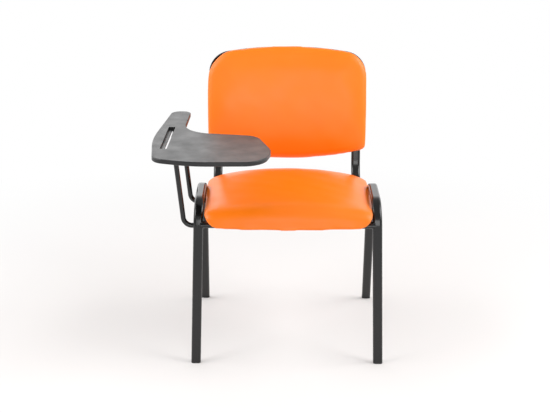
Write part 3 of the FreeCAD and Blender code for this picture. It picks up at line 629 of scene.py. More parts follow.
def quarter_rise(share: Array) -> Array:
    """Rises as a quarter circle does: the root of 1 less the square of 1 less the share."""
    near = 1.0 - np.clip(share, 0.0, 1.0)
    return np.sqrt(np.maximum(0.0, 1.0 - near * near))


def board_hold(height: Array) -> Array:
    """How firmly a board holds the foam at a height over it, 0 to 1."""
    return np.clip((HOLD_TOP - height) / HOLD_FADE, 0.0, 1.0)


def pillow_rings(half: Array, base: Array, widest: Array, edge: Array, crown: Array, draw_in: Array,
                 roll: Array) -> tuple[Array, Array]:
    """Closed cross-sections of a cushion, one a row.

    Going round: a flat base, a quarter ellipse out to the widest point, a quarter ellipse that
    rolls over onto the top, and a top that follows a parabola from the edge to the crown.

    Args:
        half: half width of each section.
        base: height of the flat base.
        widest: height of the widest point.
        edge: height of the top at the end of the roll.
        crown: height of the top in the middle.
        draw_in: how far the base is narrower than the widest point, on each side.
        roll: width of the roll.

    Returns:
        The distance across and the height of each point, as two arrays of sections by points.
    """
    half, base, widest, edge, crown, draw_in, roll = [
        np.asarray(value)[:, None] for value in (half, base, widest, edge, crown, draw_in, roll)]
    under = np.linspace(0.0, math.pi / 2, UNDER_STEPS)[None, :]
    over = np.linspace(0.0, math.pi / 2, ROLL_STEPS)[None, 1:]
    flat = np.linspace(1.0, -1.0, TOP_STEPS)[None, 1:-1]
    inner = half - roll

    def top(across: Array) -> Array:
        """Height of the parabola."""
        return crown - (crown - edge) * (across / inner) ** 2

    low_across = half - draw_in + draw_in * np.sin(under)
    low_height = widest - (widest - base) * np.cos(under)
    roll_across = inner + roll * np.cos(over)
    roll_height = widest + (top(roll_across) - widest) * np.sin(over)
    top_across = inner * flat
    across = [low_across, roll_across, top_across, -roll_across[:, ::-1], -low_across[:, ::-1]]
    height = [low_height, roll_height, top(top_across), roll_height[:, ::-1], low_height[:, ::-1]]
    return np.concatenate(across, axis=1), np.concatenate(height, axis=1)


@dataclass(frozen=True)
class Padding:
    """Swells a closed form as foam swells its cover, by a capped cloth simulation.

    The remesh is relaxed in a few passes; stretch and fold are the cover's stiffness.

    Args:
        voxel: size of the remesh.
        pressure: inner pressure of the cloth.
        cap: how far a point may move.
        frames: how many frames are simulated.
        evening: how often the rise is averaged over neighbours.
        hollow: height of the faint hollows in the foam.
        waves: how many waves, in as many directions, these hollows are made of.
        lengths: shortest and longest of these waves.
    """

    voxel: float = 0.005
    relax: float = 0.5
    passes: int = 12
    pressure: float = 4.0
    cap: float = 0.005
    frames: int = 20
    quality: int = 5
    stretch: float = 40.0
    fold: float = 8.0
    evening: int = 60
    hollow: float = 0.00035
    waves: int = 9
    lengths: tuple[float, float] = (0.05, 0.16)
    seed: int = 11

    def cushion(self, name: str, rings: Array, held: Hold, shop: FinishShop) -> Piece:
        """Makes a swelled cushion in its cover.

        Args:
            name: the piece's name.
            rings: its form before it swells.
            held: gives for rows of points how firmly each is held, 0 to 1.
            shop: the finishes.

        Returns:
            The cushion.
        """
        piece = new_piece(name, rings, ring_faces(*rings.shape[:2]))
        outward(piece)
        self._swell(piece, held)
        shop.dress(piece, Slot.COVER.value)
        return piece

    def _swell(self, piece: Piece, held: Hold) -> None:
        """Remeshes the piece evenly, inflates it and adds one subdivision.

        Args:
            piece: a closed form.
            held: what cushion takes.
        """
        grid = piece.modifiers.new("voxels", "REMESH")
        grid.mode = "VOXEL"
        grid.voxel_size = self.voxel
        relax = piece.modifiers.new("relax", "SMOOTH")
        relax.factor = self.relax
        relax.iterations = self.passes
        made = evaluated(piece)
        piece.modifiers.clear()
        piece.data = made
        start = coordinates(piece.data)
        loose = 1.0 - held(start)
        rise = self._simulated_rise(piece, start, loose)
        rise = rise + self._unevenness(start)
        put_coordinates(piece.data, start + point_normals(piece.data) * (rise * loose)[:, None])
        for polygon in piece.data.polygons:
            polygon.use_smooth = True
        finer = piece.modifiers.new("finer", "SUBSURF")
        finer.levels = finer.render_levels = 1

    def _simulated_rise(self, piece: Piece, start: Array, loose: Array, levels: int = 10) -> Array:
        """How far the pressure lifts each point, capped and evened out as a taut cover does.

        Args:
            piece: the remeshed form.
            start: its points.
            loose: how free each point is, 0 to 1.
            levels: steps in which the hold is told.

        Returns:
            The rise of each point in metres.
        """
        group = piece.vertex_groups.new(name="held")
        for level in range(1, levels + 1):
            chosen = np.nonzero(np.round((1.0 - loose) * levels) == level)[0]
            group.add(chosen.tolist(), level / levels, "REPLACE")
        settings = piece.modifiers.new("cover", "CLOTH").settings
        settings.quality = self.quality
        settings.tension_stiffness = settings.compression_stiffness = self.stretch
        settings.bending_stiffness = self.fold
        settings.use_pressure = True
        settings.uniform_pressure_force = self.pressure
        settings.vertex_group_mass = "held"
        settings.effector_weights.gravity = 0.0
        scene = bpy.context.scene
        for frame in range(1, self.frames + 1):
            scene.frame_set(frame)
        made = evaluated(piece)
        moved = coordinates(made) - start
        bpy.data.meshes.remove(made)
        piece.modifiers.clear()
        piece.vertex_groups.clear()
        scene.frame_set(1)
        outwards = np.sum(moved * point_normals(piece.data), axis=1)
        rise = evened(piece.data, np.clip(outwards, 0.0, self.cap), self.evening)
        LOG.info("%s swelled by up to %.1f mm", piece.name, 1000 * float(rise.max()))
        return rise

    def _unevenness(self, points: Array) -> Array:
        """Faint hollows that foam keeps under its cover: a mean of sine waves in random directions.

        Args:
            points: rows of points.

        Returns:
            The height at each point.
        """
        chance = np.random.default_rng(self.seed)
        ways = unit(chance.normal(size=(self.waves, 3)))
        turns = 2.0 * math.pi / chance.uniform(*self.lengths, self.waves)
        starts = chance.uniform(0.0, 2.0 * math.pi, self.waves)
        total = np.sin(points @ ways.T * turns + starts).sum(axis=1)
        return self.hollow * total / math.sqrt(self.waves)


@dataclass(frozen=True)
class SeatCushion:
    """The seat: leatherette over foam on a board that bends down at the front.

    Shares are parts of a section's height. The half width is the lip's and grows by the spread
    towards the rear. Reaches go past the board's ends. The crown falls to the rise at the lip.

    Args:
        middle_x: the chair's middle plane.
        front_y: where the waterfall starts.
        rear_y: the board's rear edge.
        base_z: underside of the pan on the rails.
    """

    middle_x: float
    front_y: float
    rear_y: float
    base_z: float
    half_width: float = 0.2325
    rear_spread: float = 0.005
    aside: float = 0.0015
    crown: float = 0.0438
    edge_share: float = 0.52
    widest_share: float = 0.33
    draw_in_share: float = 0.24
    roll_share: float = 0.5
    tip_thickness: float = 0.009
    lip_rise: float = 0.0205
    lift: float = 0.0021
    rear_reach: float = 0.0355
    rear_roll: float = 0.076
    rear_corner: float = 0.08
    front_corner: float = 0.042
    waterfall: float = 0.032
    waterfall_turn: float = math.radians(52.0)
    tip_reach: float = 0.0135
    lip_bow: float = 0.009
    sections: int = 150

    def build(self, shop: FinishShop, padding: Padding) -> None:
        """Makes the cushion on the chair.

        Args:
            shop: the finishes.
            padding: how foam swells.
        """
        piece = padding.cushion("seat_cushion", self._surface(), self._held, shop)
        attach(piece, "chair")
        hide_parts("seat_cover", "seat_foam")
        LOG.info("%s made", piece.name)

    def _surface(self) -> Array:
        """Rings along the board's curve; rear corners are quarter circles, the front ones ellipses.

        The lip hangs lowest in the middle, by 1 less the square of the share across.

        Returns:
            Rings by points by coordinates.
        """
        flat = self.rear_y - self.front_y
        arc = self.waterfall * self.waterfall_turn
        end = flat + arc + self.tip_reach
        start = -self.rear_reach
        share = (1.0 - np.cos(np.linspace(0.0, math.pi, self.sections))) / 2.0
        place = start + (end - start) * share
        from_rear = place - start
        from_tip = end - place
        rear = quarter_rise(from_rear / self.rear_roll)
        tip = quarter_rise(from_tip / (arc + self.tip_reach))
        bend = np.clip((place - flat) / arc, 0.0, 1.0)
        spread = np.sin(math.pi / 2.0 * from_tip / (end - start))
        width = self.half_width + self.rear_spread * spread
        width = width - self.rear_corner * (1.0 - quarter_rise(from_rear / self.rear_corner))
        width = width - self.front_corner * (1.0 - tip)
        tallest = self.crown + (self.lip_rise - self.crown) * bend * bend
        middle = tallest / 2.0
        thin = self.tip_thickness / 2.0
        crown = middle + thin + (tallest - middle - thin) * np.minimum(rear, tip)
        lifted = 1.0 - quarter_rise(from_rear / self.rear_reach)
        base = self.lift + (middle - thin - self.lift) * lifted
        height = crown - base
        across, rise = pillow_rings(
            width, base, base + height * self.widest_share, base + height * self.edge_share, crown,
            height * self.draw_in_share, height * self.roll_share)
        turn = np.clip((place - flat) / self.waterfall, 0.0, self.waterfall_turn)
        beyond = np.maximum(0.0, place - flat - arc)
        bent_y = self.front_y - self.waterfall * np.sin(turn) - beyond * np.cos(turn)
        path_y = np.where(place <= flat, self.rear_y - place, bent_y)
        path_z = self.base_z - self.waterfall * (1.0 - np.cos(turn)) - beyond * np.sin(turn)
        sin, cos = np.sin(turn)[:, None], np.cos(turn)[:, None]
        hang = self.lip_bow * (bend * bend)[:, None] * (1.0 - (across / width[:, None]) ** 2)
        return np.stack([self.middle_x + self.aside + across,
                         path_y[:, None] - sin * rise - cos * hang,
                         path_z[:, None] + cos * rise - sin * hang], axis=-1)

    def _held(self, points: Array) -> Array:
        """The board's hold, by the height over the flat board or over its bend.

        Args:
            points: rows of points.

        Returns:
            How firmly each is held, 0 to 1.
        """
        ahead = self.front_y - points[:, 1]
        above = points[:, 2] - self.base_z
        round_bend = np.hypot(ahead, above + self.waterfall) - self.waterfall
        return board_hold(np.where(ahead > 0.0, round_bend, above))


@dataclass(frozen=True)
class BackCushion:
    """The back: leatherette over foam on a curved board, leaned back with the uprights.

    Heights run up the lean from the corner. The bows bring the edges in towards the sides, left and
    right are the sitter's, and depths are those from the board's rear face to the front.

    Args:
        middle_x: the chair's middle plane.
        corner_y: where the rails' lower and upright lines meet.
        corner_z: height of that point.
    """

    middle_x: float
    corner_y: float
    corner_z: float
    half_width: float = 0.2378
    aside: float = -0.001
    low: float = 0.0652
    high: float = 0.4034
    lean: float = math.radians(9.0)
    curve: float = 1.3
    rear_centre: float = 0.0078
    top_bow: float = 0.025
    low_bow: float = 0.03
    right_corner: float = 0.074
    left_corner: float = 0.06
    low_corner: float = 0.011
    crown: float = 0.0445
    edge_depth: float = 0.0315
    side_crown: float = 0.0165
    side_depth: float = 0.014
    widest_share: float = 0.4
    roll: float = 0.024
    draw_in: float = 0.006
    sections: int = 170

    def build(self, shop: FinishShop, padding: Padding) -> None:
        """Makes the cushion on the chair.

        Args:
            shop: the finishes.
            padding: how foam swells.
        """
        piece = padding.cushion("back_cushion", self._surface(), self._held, shop)
        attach(piece, "chair")
        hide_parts("back_cover", "back_foam")
        LOG.info("%s made", piece.name)

    def _sag(self, across: Array) -> Array:
        """The board's fall: radius less the root of its square less the square across."""
        return self.curve - np.sqrt(self.curve**2 - across**2)

    def _corner(self, across: Array, radius: Array | float) -> Array:
        """How far a corner draws in: radius less the root of its square less that of the inside."""
        inside = np.maximum(0.0, np.abs(across) - (self.half_width - radius))
        return radius - np.sqrt(np.maximum(0.0, radius**2 - inside**2))

    def _surface(self) -> Array:
        """Upright sections whose depth fades at the sides as the root of 1 less the fourth power.

        Returns:
            Rings by points by coordinates.
        """
        side = np.sin(np.linspace(-math.pi / 2, math.pi / 2, self.sections))
        x = side * self.half_width
        top_corner = np.where(side < 0.0, self.right_corner, self.left_corner)
        low = self.low + self.low_bow * side**2 + self._corner(x, self.low_corner)
        high = self.high - self.top_bow * side**2 - self._corner(x, top_corner)
        full = np.sqrt(np.maximum(0.0, 1.0 - side**4))
        edge = self.side_depth + (self.edge_depth - self.side_depth) * full
        crown = self.side_crown + (self.crown - self.side_crown) * full
        zero = np.zeros_like(x)
        up, depth = pillow_rings((high - low) / 2.0, zero, edge * self.widest_share, edge, crown,
                                 zero + self.draw_in, zero + self.roll)
        height = up + ((high + low) / 2.0)[:, None]
        back = (self.rear_centre - self._sag(x))[:, None] - depth
        return self._leaned(np.broadcast_to(x[:, None], height.shape), back, height)

    def _leaned(self, x: Array, y: Array, z: Array) -> Array:
        """Turns upright points about the rails' corner by the lean; returns them as rows."""
        cos, sin = math.cos(self.lean), math.sin(self.lean)
        return np.stack([self.middle_x + self.aside + x, self.corner_y + y * cos + z * sin,
                         self.corner_z - y * sin + z * cos], axis=-1)

    def _held(self, points: Array) -> Array:
        """The board's hold, by the depth in front of its curved rear face.

        Args:
            points: rows of points.

        Returns:
            How firmly each is held, 0 to 1.
        """
        y = points[:, 1] - self.corner_y
        z = points[:, 2] - self.corner_z
        upright = y * math.cos(self.lean) - z * math.sin(self.lean)
        return board_hold(self.rear_centre - self._sag(points[:, 0] - self.middle_x) - upright)


# The bent tubes and their welds


@dataclass(frozen=True)
class FramePlan:
    """The steel frame's lines, from the chair's middle plane, the front soles and the floor.

    An x is a distance from the middle plane, a z or a height one from the floor, and front, rear
    and corner are distances from the front soles towards the back, all of centre lines, which meet
    there as if without bends. The splay turns the side frames outwards about their level. The rod
    is the tablet's tube, whose top run leans out and toes in.

    Args:
        origin: where the middle plane and the front soles are in the frame's own coordinates.
    """

    origin: Array
    wide: float = 0.027
    thin: float = 0.015
    bend: float = 0.07
    arch_height: float = 0.457
    arch_front: float = 0.0434
    arch_rear: float = 0.255
    rear_foot: float = 0.467
    arch_x: float = 0.2465
    level: float = 0.439
    splay: float = math.radians(1.5)
    sole: float = 0.006
    bar_z: float = 0.4015
    front_bar: float = 0.038129
    rear_bar: float = 0.280746
    rail_x: float = 0.209
    rail_z: float = 0.4165
    rail_front: float = 0.030429
    rail_corner: float = 0.408429
    lean: float = math.radians(9.0)
    upright: float = 0.3
    rod: float = 0.007
    rod_low_bend: float = 0.025
    rod_top_bend: float = 0.03
    rod_z: float = 0.392977
    rod_front: float = 0.05586
    rod_rear: float = 0.263015
    rod_x: float = 0.287505
    rod_inner_x: float = 0.147705
    rod_top: float = 0.640677
    rod_lean: float = 0.026
    rod_toe: float = 0.005425

    def placed(self, points: Array) -> Array:
        """Moves points from the chair's own places into the frame's."""
        return points + self.origin

    def leg_x(self, height: float) -> float:
        """How far a side frame's centre line is from the middle plane at a height."""
        return self.arch_x + (self.level - height) * math.tan(self.splay)

    def front_leg_y(self, height: float) -> float:
        """How far back a front leg's centre line is at a height."""
        return self.arch_front * height / self.arch_height

    def rear_leg_y(self, height: float) -> float:
        """How far back a rear leg's centre line is at a height."""
        return self.rear_foot - (self.rear_foot - self.arch_rear) * (height / self.arch_height)


@dataclass(frozen=True)
class Tubes:
    """The bent tubes of the chair: two side frames, two rails and the tablet's tube.

    Args:
        plan: places of the frame.
        shop: the finishes.
    """

    plan: FramePlan
    shop: FinishShop

    def build(self) -> None:
        """Makes every tube."""
        for side, word in ((1.0, "left"), (-1.0, "right")):
            self._tube("side_frame_" + word, self._side_frame(side))
            self._tube("seat_rail_" + word, self._rail(side))
        self._tube("tablet_tube", self._rod())

    def _tube(self, node: str, rings: Array) -> None:
        """Turns rings into a dressed piece that stands for its node.

        Args:
            node: name of the CAD node.
            rings: rings of points.
        """
        piece = new_piece(node + "_bent", rings, ring_faces(*rings.shape[:2]))
        evenly_shaded(piece, TUBE_SHARP)
        self.shop.dress(piece, Slot.FRAME.value)
        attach(piece, "chair")
        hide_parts(node)
        LOG.info("%s swept", piece.name)

    def _side_frame(self, side: float) -> Array:
        """Front leg, arch and rear leg in one bend, turned outwards and cut level above the soles.

        Args:
            side: 1 for the sitter's left, -1 for the right.

        Returns:
            Its rings.
        """
        plan = self.plan
        corners = np.array([(0.0, 0.0, 0.0), (0.0, plan.arch_front, plan.arch_height),
                            (0.0, plan.arch_rear, plan.arch_height), (0.0, plan.rear_foot, 0.0)])
        places, ways = bent_path(corners, [plan.bend, plan.bend])
        rings = swept_rings(places, ways, oval(plan.wide, plan.thin), SIDEWAYS)
        turn = -side * plan.splay
        cos, sin = math.cos(turn), math.sin(turn)
        up = rings[..., 2] - plan.level
        x = rings[..., 0] * cos + up * sin + side * plan.arch_x
        z = up * cos - rings[..., 0] * sin + plan.level
        rings = np.stack([x, rings[..., 1], z], axis=-1)
        for end, inner in ((0, 1), (-1, -2)):
            way = rings[inner] - rings[end]
            rings[end] += way * ((plan.sole - rings[end, :, 2]) / way[:, 2])[:, None]
        return plan.placed(rings)

    def _rail(self, side: float) -> Array:
        """A level run on the crossbars and an upright that leans back.

        Args:
            side: 1 for the sitter's left, -1 for the right.

        Returns:
            Its rings.
        """
        plan = self.plan
        x = side * plan.rail_x
        corners = np.array([(x, plan.rail_front, plan.rail_z), (x, plan.rail_corner, plan.rail_z),
                            (x, plan.rail_corner + plan.upright * math.sin(plan.lean),
                             plan.rail_z + plan.upright * math.cos(plan.lean))])
        places, ways = bent_path(corners, [plan.bend])
        return plan.placed(swept_rings(places, ways, oval(plan.wide, plan.thin), SIDEWAYS))

    def _rod(self) -> Array:
        """A round tube: out from under the seat, up, back under the tablet, down and in again.

        Returns:
            Its rings.
        """
        plan = self.plan
        inner, out = -plan.rod_inner_x, -plan.rod_x
        top = out - plan.rod_lean
        corners = np.array([
            (inner, plan.rod_front, plan.rod_z), (out, plan.rod_front, plan.rod_z),
            (top, plan.rod_front, plan.rod_top), (top + plan.rod_toe, plan.rod_rear, plan.rod_top),
            (out + plan.rod_toe, plan.rod_rear, plan.rod_z), (inner, plan.rod_rear, plan.rod_z)])
        radii = [plan.rod_low_bend, plan.rod_top_bend, plan.rod_top_bend, plan.rod_low_bend]
        places, ways = bent_path(corners, radii)
        return plan.placed(swept_rings(places, ways, circle(plan.rod), unit(np.ones(3))))


@dataclass(frozen=True)
class Welds:
    """Beads where the frame's tubes meet.

    A bead wraps half way round each leg, runs along both sides of a rail, and runs above and below
    the line where the tablet's tube meets a crossbar, from its end and from the leg.

    Args:
        plan: places of the frame.
        shop: the finishes.
        size: half the width of a bead.
        pitch: length of one ripple.
        ripple: share by which a bead swells at a ripple.
        taper: length over which a bead's end closes, in sizes.
        blunt: share at which that starts.
        proud: how far a bead's line is off the steel.
    """

    plan: FramePlan
    shop: FinishShop
    size: float = 0.0017
    pitch: float = 0.0026
    ripple: float = 0.22
    fineness: int = 6
    fewest: int = 12
    taper: float = 1.5
    blunt: float = 0.02
    points: int = 10
    steady: tuple[float, float, float] = (0.3, 0.5, 0.8)
    proud: float = 0.0006
    wrap: float = 1.25
    wrap_steps: int = 14
    rail_side: float = 0.0022
    rail_reach: float = 0.0068
    rod_slant: float = math.radians(36.0)
    rod_lift: float = 0.0032
    rod_side: float = 0.6
    rod_inner: tuple[float, float] = (-0.004, -0.03)
    rod_outer: tuple[float, float] = (0.045, 0.02)

    def build(self) -> None:
        """Makes every bead as one piece on the chair."""
        rows: list[Array] = []
        for side in (1.0, -1.0):
            for bar in (self.plan.front_bar, self.plan.rear_bar):
                rows.extend(self._at_leg(side, bar))
                rows.extend(self._at_rail(side, bar))
        rows.extend(self._at_rod())
        points: list[Array] = []
        faces: list = []
        for row in rows:
            rings = self._bead(row)
            first = sum(len(part) for part in points)
            faces.extend([number + first for number in face]
                         for face in ring_faces(*rings.shape[:2]))
            points.append(rings.reshape(-1, 3))
        piece = new_piece("weld_beads", self.plan.placed(np.concatenate(points)), faces)
        evenly_shaded(piece, BEAD_SHARP)
        self.shop.dress(piece, Slot.FRAME.value)
        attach(piece, "chair")
        LOG.info("%d beads laid", len(rows))

    def _bead(self, line: Array) -> Array:
        """Rings along a line, whose size is 1 plus the ripple times a cosine and ends in points.

        Args:
            line: points of the line.

        Returns:
            The rings.
        """
        steps = np.linalg.norm(np.diff(line, axis=0), axis=1)
        lengths = np.concatenate([[0.0], np.cumsum(steps)])
        total = lengths[-1]
        count = max(self.fewest, round(total / self.pitch * self.fineness))
        at = np.linspace(0.0, total, count)
        places = np.stack([np.interp(at, lengths, line[:, axis]) for axis in range(3)], axis=1)
        ways = unit(np.gradient(places, axis=0))
        close = quarter_rise(np.minimum(at, total - at) / (self.taper * self.size) + self.blunt)
        size = self.size * close * (1.0 + self.ripple * np.cos(2.0 * math.pi * at / self.pitch))
        profile = circle(1.0, self.points)[None] * size[:, None, None]
        return swept_rings(places, ways, profile, unit(np.array(self.steady)))

    def _at_leg(self, side: float, bar: float) -> list[Array]:
        """Half rings round a leg's inner side, over and under a crossbar's end.

        Args:
            side: 1 for the sitter's left, -1 for the right.
            bar: how far back the crossbar is.

        Returns:
            The beads' lines.
        """
        plan = self.plan
        leg_y = plan.front_leg_y if bar == plan.front_bar else plan.rear_leg_y
        turn = np.linspace(-self.wrap, self.wrap, self.wrap_steps)
        radius = plan.thin / 2 + self.proud
        rows = []
        for up in (1.0, -1.0):
            height = plan.bar_z + up * (plan.thin / 2)
            centre = plan.leg_x(height) - (plan.wide - plan.thin) / 2
            rows.append(np.stack([side * (centre - radius * np.cos(turn)),
                                  leg_y(height) + radius * np.sin(turn),
                                  np.full_like(turn, height)], axis=1))
        return rows

    def _at_rail(self, side: float, bar: float) -> list[Array]:
        """Beads along both sides of a rail, where it lies on a crossbar.

        Args:
            side: 1 for the sitter's left, -1 for the right.
            bar: how far back the crossbar is.

        Returns:
            The beads' lines.
        """
        plan = self.plan
        z = plan.bar_z + plan.thin / 2 + self.proud
        rows = []
        for way in (1.0, -1.0):
            x = side * plan.rail_x + way * ((plan.wide - plan.thin) / 2 + self.rail_side)
            rows.append(np.array([(x, bar - self.rail_reach, z), (x, bar + self.rail_reach, z)]))
        return rows

    def _at_rod(self) -> list[Array]:
        """Beads along the tablet's tube under each crossbar, near its ends and near the leg.

        Returns:
            The beads' lines.
        """
        plan = self.plan
        edge = plan.thin / 2
        inner, leg = -plan.rod_inner_x, -plan.leg_x(plan.rod_z)
        spans = [[inner + x for x in self.rod_inner], [leg + x for x in self.rod_outer]]
        z = plan.bar_z - edge * math.sin(self.rod_slant)
        rows = []
        for rod, bar in ((plan.rod_front, plan.front_bar), (plan.rod_rear, plan.rear_bar)):
            way = math.copysign(1.0, rod - bar)
            y = bar + way * ((plan.wide - plan.thin) / 2 + edge * math.cos(self.rod_slant))
            for lift in (self.rod_lift, -self.rod_lift):
                for span in spans:
                    aside = y + way * lift * self.rod_side
                    rows.append(np.array([(x, aside, z + lift) for x in span]))
        return rows


@dataclass(frozen=True)
class SlotLedge:
    """The narrow step inside the tablet's slot, along the wall that is farther from the sitter.

    Outer, inner, near, far, low and high are its sides, from the hinge's point.

    Args:
        plan: places of the frame.
        shop: the finishes.
    """

    plan: FramePlan
    shop: FinishShop
    outer: float = -0.0165
    inner: float = -0.0062
    near: float = -0.1598
    far: float = 0.0558
    low: float = 0.0092
    high: float = 0.0122
    round: float = 0.0006
    toe: float = math.radians(1.5)

    def build(self) -> None:
        """Makes the ledge in the hinge's own directions and turns it with the tablet's toe."""
        across = np.array([self.outer, self.inner - self.round, self.inner, self.inner,
                           self.inner - self.round, self.outer])
        up = np.array([self.low, self.low, self.low + self.round, self.high - self.round,
                       self.high, self.high])
        along = np.array([self.near, self.far])
        cos, sin = math.cos(-self.toe), math.sin(-self.toe)
        x = across[None, :] * cos - along[:, None] * sin
        y = across[None, :] * sin + along[:, None] * cos
        rings = np.stack([x, y, np.broadcast_to(up, x.shape)], axis=-1)
        plan = self.plan
        hinge = np.array((-plan.rod_x - plan.rod_lean, plan.rod_front, plan.rod_top))
        piece = new_piece("slot_ledge", plan.placed(rings + hinge), ring_faces(2, len(across)))
        evenly_shaded(piece)
        self.shop.dress(piece, Slot.TABLET.value)
        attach(piece, "tablet")
        LOG.info("%s made", piece.name)


# Rigid pieces


@dataclass(frozen=True)
class RigidPieces:
    """Every rigid CAD node that shows, as a smoothly shaded piece with its finish.

    Args:
        shop: the finishes.
    """

    frame: dict
    shop: FinishShop

    LEFT = ("seat_foam", "seat_cover", "back_foam", "back_cover", "side_frame_left",
            "side_frame_right", "seat_rail_left", "seat_rail_right", "tablet_tube")

    def build(self) -> None:
        """Makes the pieces and leaves the soft nodes and the bent tubes to their own classes."""
        record = self.frame["record"]
        bodies = {node: body for body, nodes in record["behaviour"]["bodies"].items()
                  for node in nodes}
        for part in record["subparts"]:
            name = part["node"]
            node = self.frame["nodes"][name]
            if name in self.LEFT:
                self.shop.dress(node, part["material_slot"])
                continue
            piece = smooth_copy(node)
            self.shop.dress(piece, part["material_slot"])
            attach(piece, bodies[name])
            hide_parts(name)
            LOG.info("%s dressed", piece.name)


# The room


@dataclass(frozen=True)
class Lamp:
    """A square soft lamp.

    Args:
        name: its name.
        place: where it hangs.
        side: length of its sides.
        power: its power in watts.
    """

    name: str
    place: tuple[float, float, float]
    side: float
    power: float


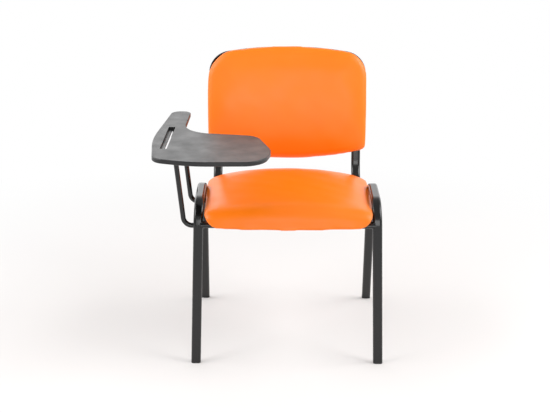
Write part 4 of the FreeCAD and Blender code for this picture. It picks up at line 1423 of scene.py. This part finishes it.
@dataclass(frozen=True)
class Studio:
    """Plain room round the object: pale floor, soft light and the photo's camera.

    The floor turns white from near to far. The world is brightest behind and low, each between
    its two limits, and the backdrop's right share holds at the picture's right.

    Args:
        camera: place of the camera.
        pitch: its tilt in degrees, 90 for level.
        roll: its turn about the line of sight in degrees.
        lens: focal length for the sensor's width.
        reach: length of the floor's sides.
        floor_color: linear colour of the floor.
    """

    camera: tuple[float, float, float] = (0.0085, -3.15284, 1.50829)
    pitch: float = 71.044
    roll: float = 0.245
    lens: float = 77.15
    sensor: float = 36.0
    reach: float = 80.0
    floor_color: tuple[float, float, float] = (0.79, 0.765, 0.755)
    floor_roughness: float = 0.9
    floor_gloss: float = 0.1
    floor_near: float = 0.55
    floor_far: float = 1.9
    overhead: float = 0.5
    backdrop: float = 1.85
    backdrop_right: float = 0.64
    behind: tuple[float, float] = (-0.2, 0.5)
    low: tuple[float, float] = (0.8, 0.4)
    turnover: float = 0.12
    aim: float = 0.45
    lamps: tuple[Lamp, ...] = (
        Lamp("soft_left", (-2.6, -0.6, 2.4), 2.2, 62.0),
        Lamp("soft_right", (2.6, -0.4, 2.4), 2.2, 78.0),
        Lamp("soft_front", (0.3, -3.7, 1.35), 1.5, 24.0))

    def build(self) -> None:
        """Makes the floor, the world, the lamps and the camera."""
        self._floor()
        self._world()
        for look in self.lamps:
            self._lamp(look)
        self._camera()
        bpy.context.scene.view_settings.view_transform = "Standard"

    def _floor(self) -> None:
        """A flat floor that the camera and reflections see evenly white away from the object."""
        half = self.reach / 2.0
        corners = np.array([(-half, -half, 0.0), (half, -half, 0.0), (half, half, 0.0),
                            (-half, half, 0.0)])
        floor = new_piece("floor", corners, [(0, 1, 2, 3)])
        material = bpy.data.materials.new("floor")
        material.use_nodes = True
        bench = NodeBench(material.node_tree)
        shader = bench.tree.nodes["Principled BSDF"]
        bench.fill(shader, {"Base Color": (*self.floor_color, 1.0),
                            "Roughness": self.floor_roughness,
                            "Specular IOR Level": self.floor_gloss})
        place = bench.add("ShaderNodeTexCoord", {}).outputs["Object"]
        distance = bench.add("ShaderNodeVectorMath", {0: place}, operation="LENGTH")
        share = bench.step(distance.outputs["Value"], (self.floor_near, self.floor_far))
        ray = bench.add("ShaderNodeLightPath", {}).outputs
        seen = bench.calculate("ADD", ray["Is Glossy Ray"], ray["Is Transmission Ray"])
        seen = bench.calculate("ADD", seen, ray["Is Camera Ray"])
        white = bench.add("ShaderNodeEmission", {})
        mix = bench.add("ShaderNodeMixShader", {
            "Fac": bench.calculate("MULTIPLY", share, seen), 1: shader.outputs["BSDF"],
            2: white.outputs["Emission"]})
        bench.fill(bench.tree.nodes["Material Output"], {"Surface": mix.outputs["Shader"]})
        floor.data.materials.append(material)
        floor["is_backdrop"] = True

    def _world(self) -> None:
        """White low behind the object and dimmer elsewhere, as with a studio's white backdrop."""
        world = bpy.data.worlds.new("room")
        bpy.context.scene.world = world
        world.use_nodes = True
        bench = NodeBench(world.node_tree)
        place = bench.add("ShaderNodeTexCoord", {}).outputs["Generated"]
        parts = bench.add("ShaderNodeSeparateXYZ", {"Vector": place}).outputs
        both = bench.calculate("MULTIPLY", bench.step(parts["Y"], self.behind),
                               bench.step(parts["Z"], self.low))
        side = bench.add("ShaderNodeMapRange", {
            "Value": parts["X"], "From Min": self.turnover, "From Max": -self.turnover,
            "To Min": self.backdrop_right}).outputs["Result"]
        strength = bench.add("ShaderNodeMapRange", {
            "Value": bench.calculate("MULTIPLY", both, side), "To Min": self.overhead,
            "To Max": self.backdrop}).outputs["Result"]
        bench.fill(bench.tree.nodes["Background"],
                   {"Color": (1.0, 1.0, 1.0, 1.0), "Strength": strength})

    def _lamp(self, look: Lamp) -> None:
        """Hangs a lamp and turns it to the seat; the camera doesn't see it.

        Args:
            look: what the lamp is like.
        """
        data = bpy.data.lights.new(look.name, "AREA")
        data.shape = "RECTANGLE"
        data.size = data.size_y = look.side
        data.energy = look.power
        lamp = bpy.data.objects.new(look.name, data)
        lamp.location = look.place
        x, y, z = np.array((0.0, 0.0, self.aim)) - np.array(look.place)
        lamp.rotation_euler = (math.atan2(math.hypot(x, y), -z), 0.0, math.atan2(-x, y))
        lamp.visible_camera = False
        bpy.context.scene.collection.objects.link(lamp)
        lamp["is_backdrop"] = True

    def _camera(self) -> None:
        """The camera that the photo was taken with."""
        data = bpy.data.cameras.new("camera")
        data.lens = self.lens
        data.sensor_width = self.sensor
        camera = bpy.data.objects.new("camera", data)
        camera.location = self.camera
        camera.rotation_euler = (math.radians(self.pitch), 0.0, 0.0)
        camera.rotation_euler.rotate_axis("Z", math.radians(self.roll))
        bpy.context.scene.collection.objects.link(camera)
        bpy.context.scene.camera = camera


def corners() -> list[list[float]]:
    """Lowest and highest corner of what is shown, as plain lists."""
    return [[float(value) for value in corner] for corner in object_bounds()]


def main() -> None:
    """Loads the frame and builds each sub-assembly in order."""
    logging.basicConfig(level=logging.INFO)
    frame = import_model()
    shop = FinishShop(FINISHES)
    RigidPieces(frame, shop).build()
    left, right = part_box("side_frame_left"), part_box("side_frame_right")
    middle_x = (left[1].x + right[0].x) / 2.0
    pan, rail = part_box("seat_pan"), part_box("seat_rail_left")
    plan = FramePlan(np.array((middle_x, rail[0].y - FramePlan.rail_front, 0.0)))
    Tubes(plan, shop).build()
    Welds(plan, shop).build()
    SlotLedge(plan, shop).build()
    padding = Padding()
    SeatCushion(middle_x, rail[0].y, pan[1].y, pan[1].z - PAN_THICKNESS).build(shop, padding)
    upright_y = rail[0].y + plan.rail_corner - plan.rail_front
    BackCushion(middle_x, upright_y, rail[0].z + plan.thin / 2).build(shop, padding)
    Studio().build()


if __name__ == "__main__":
    main()
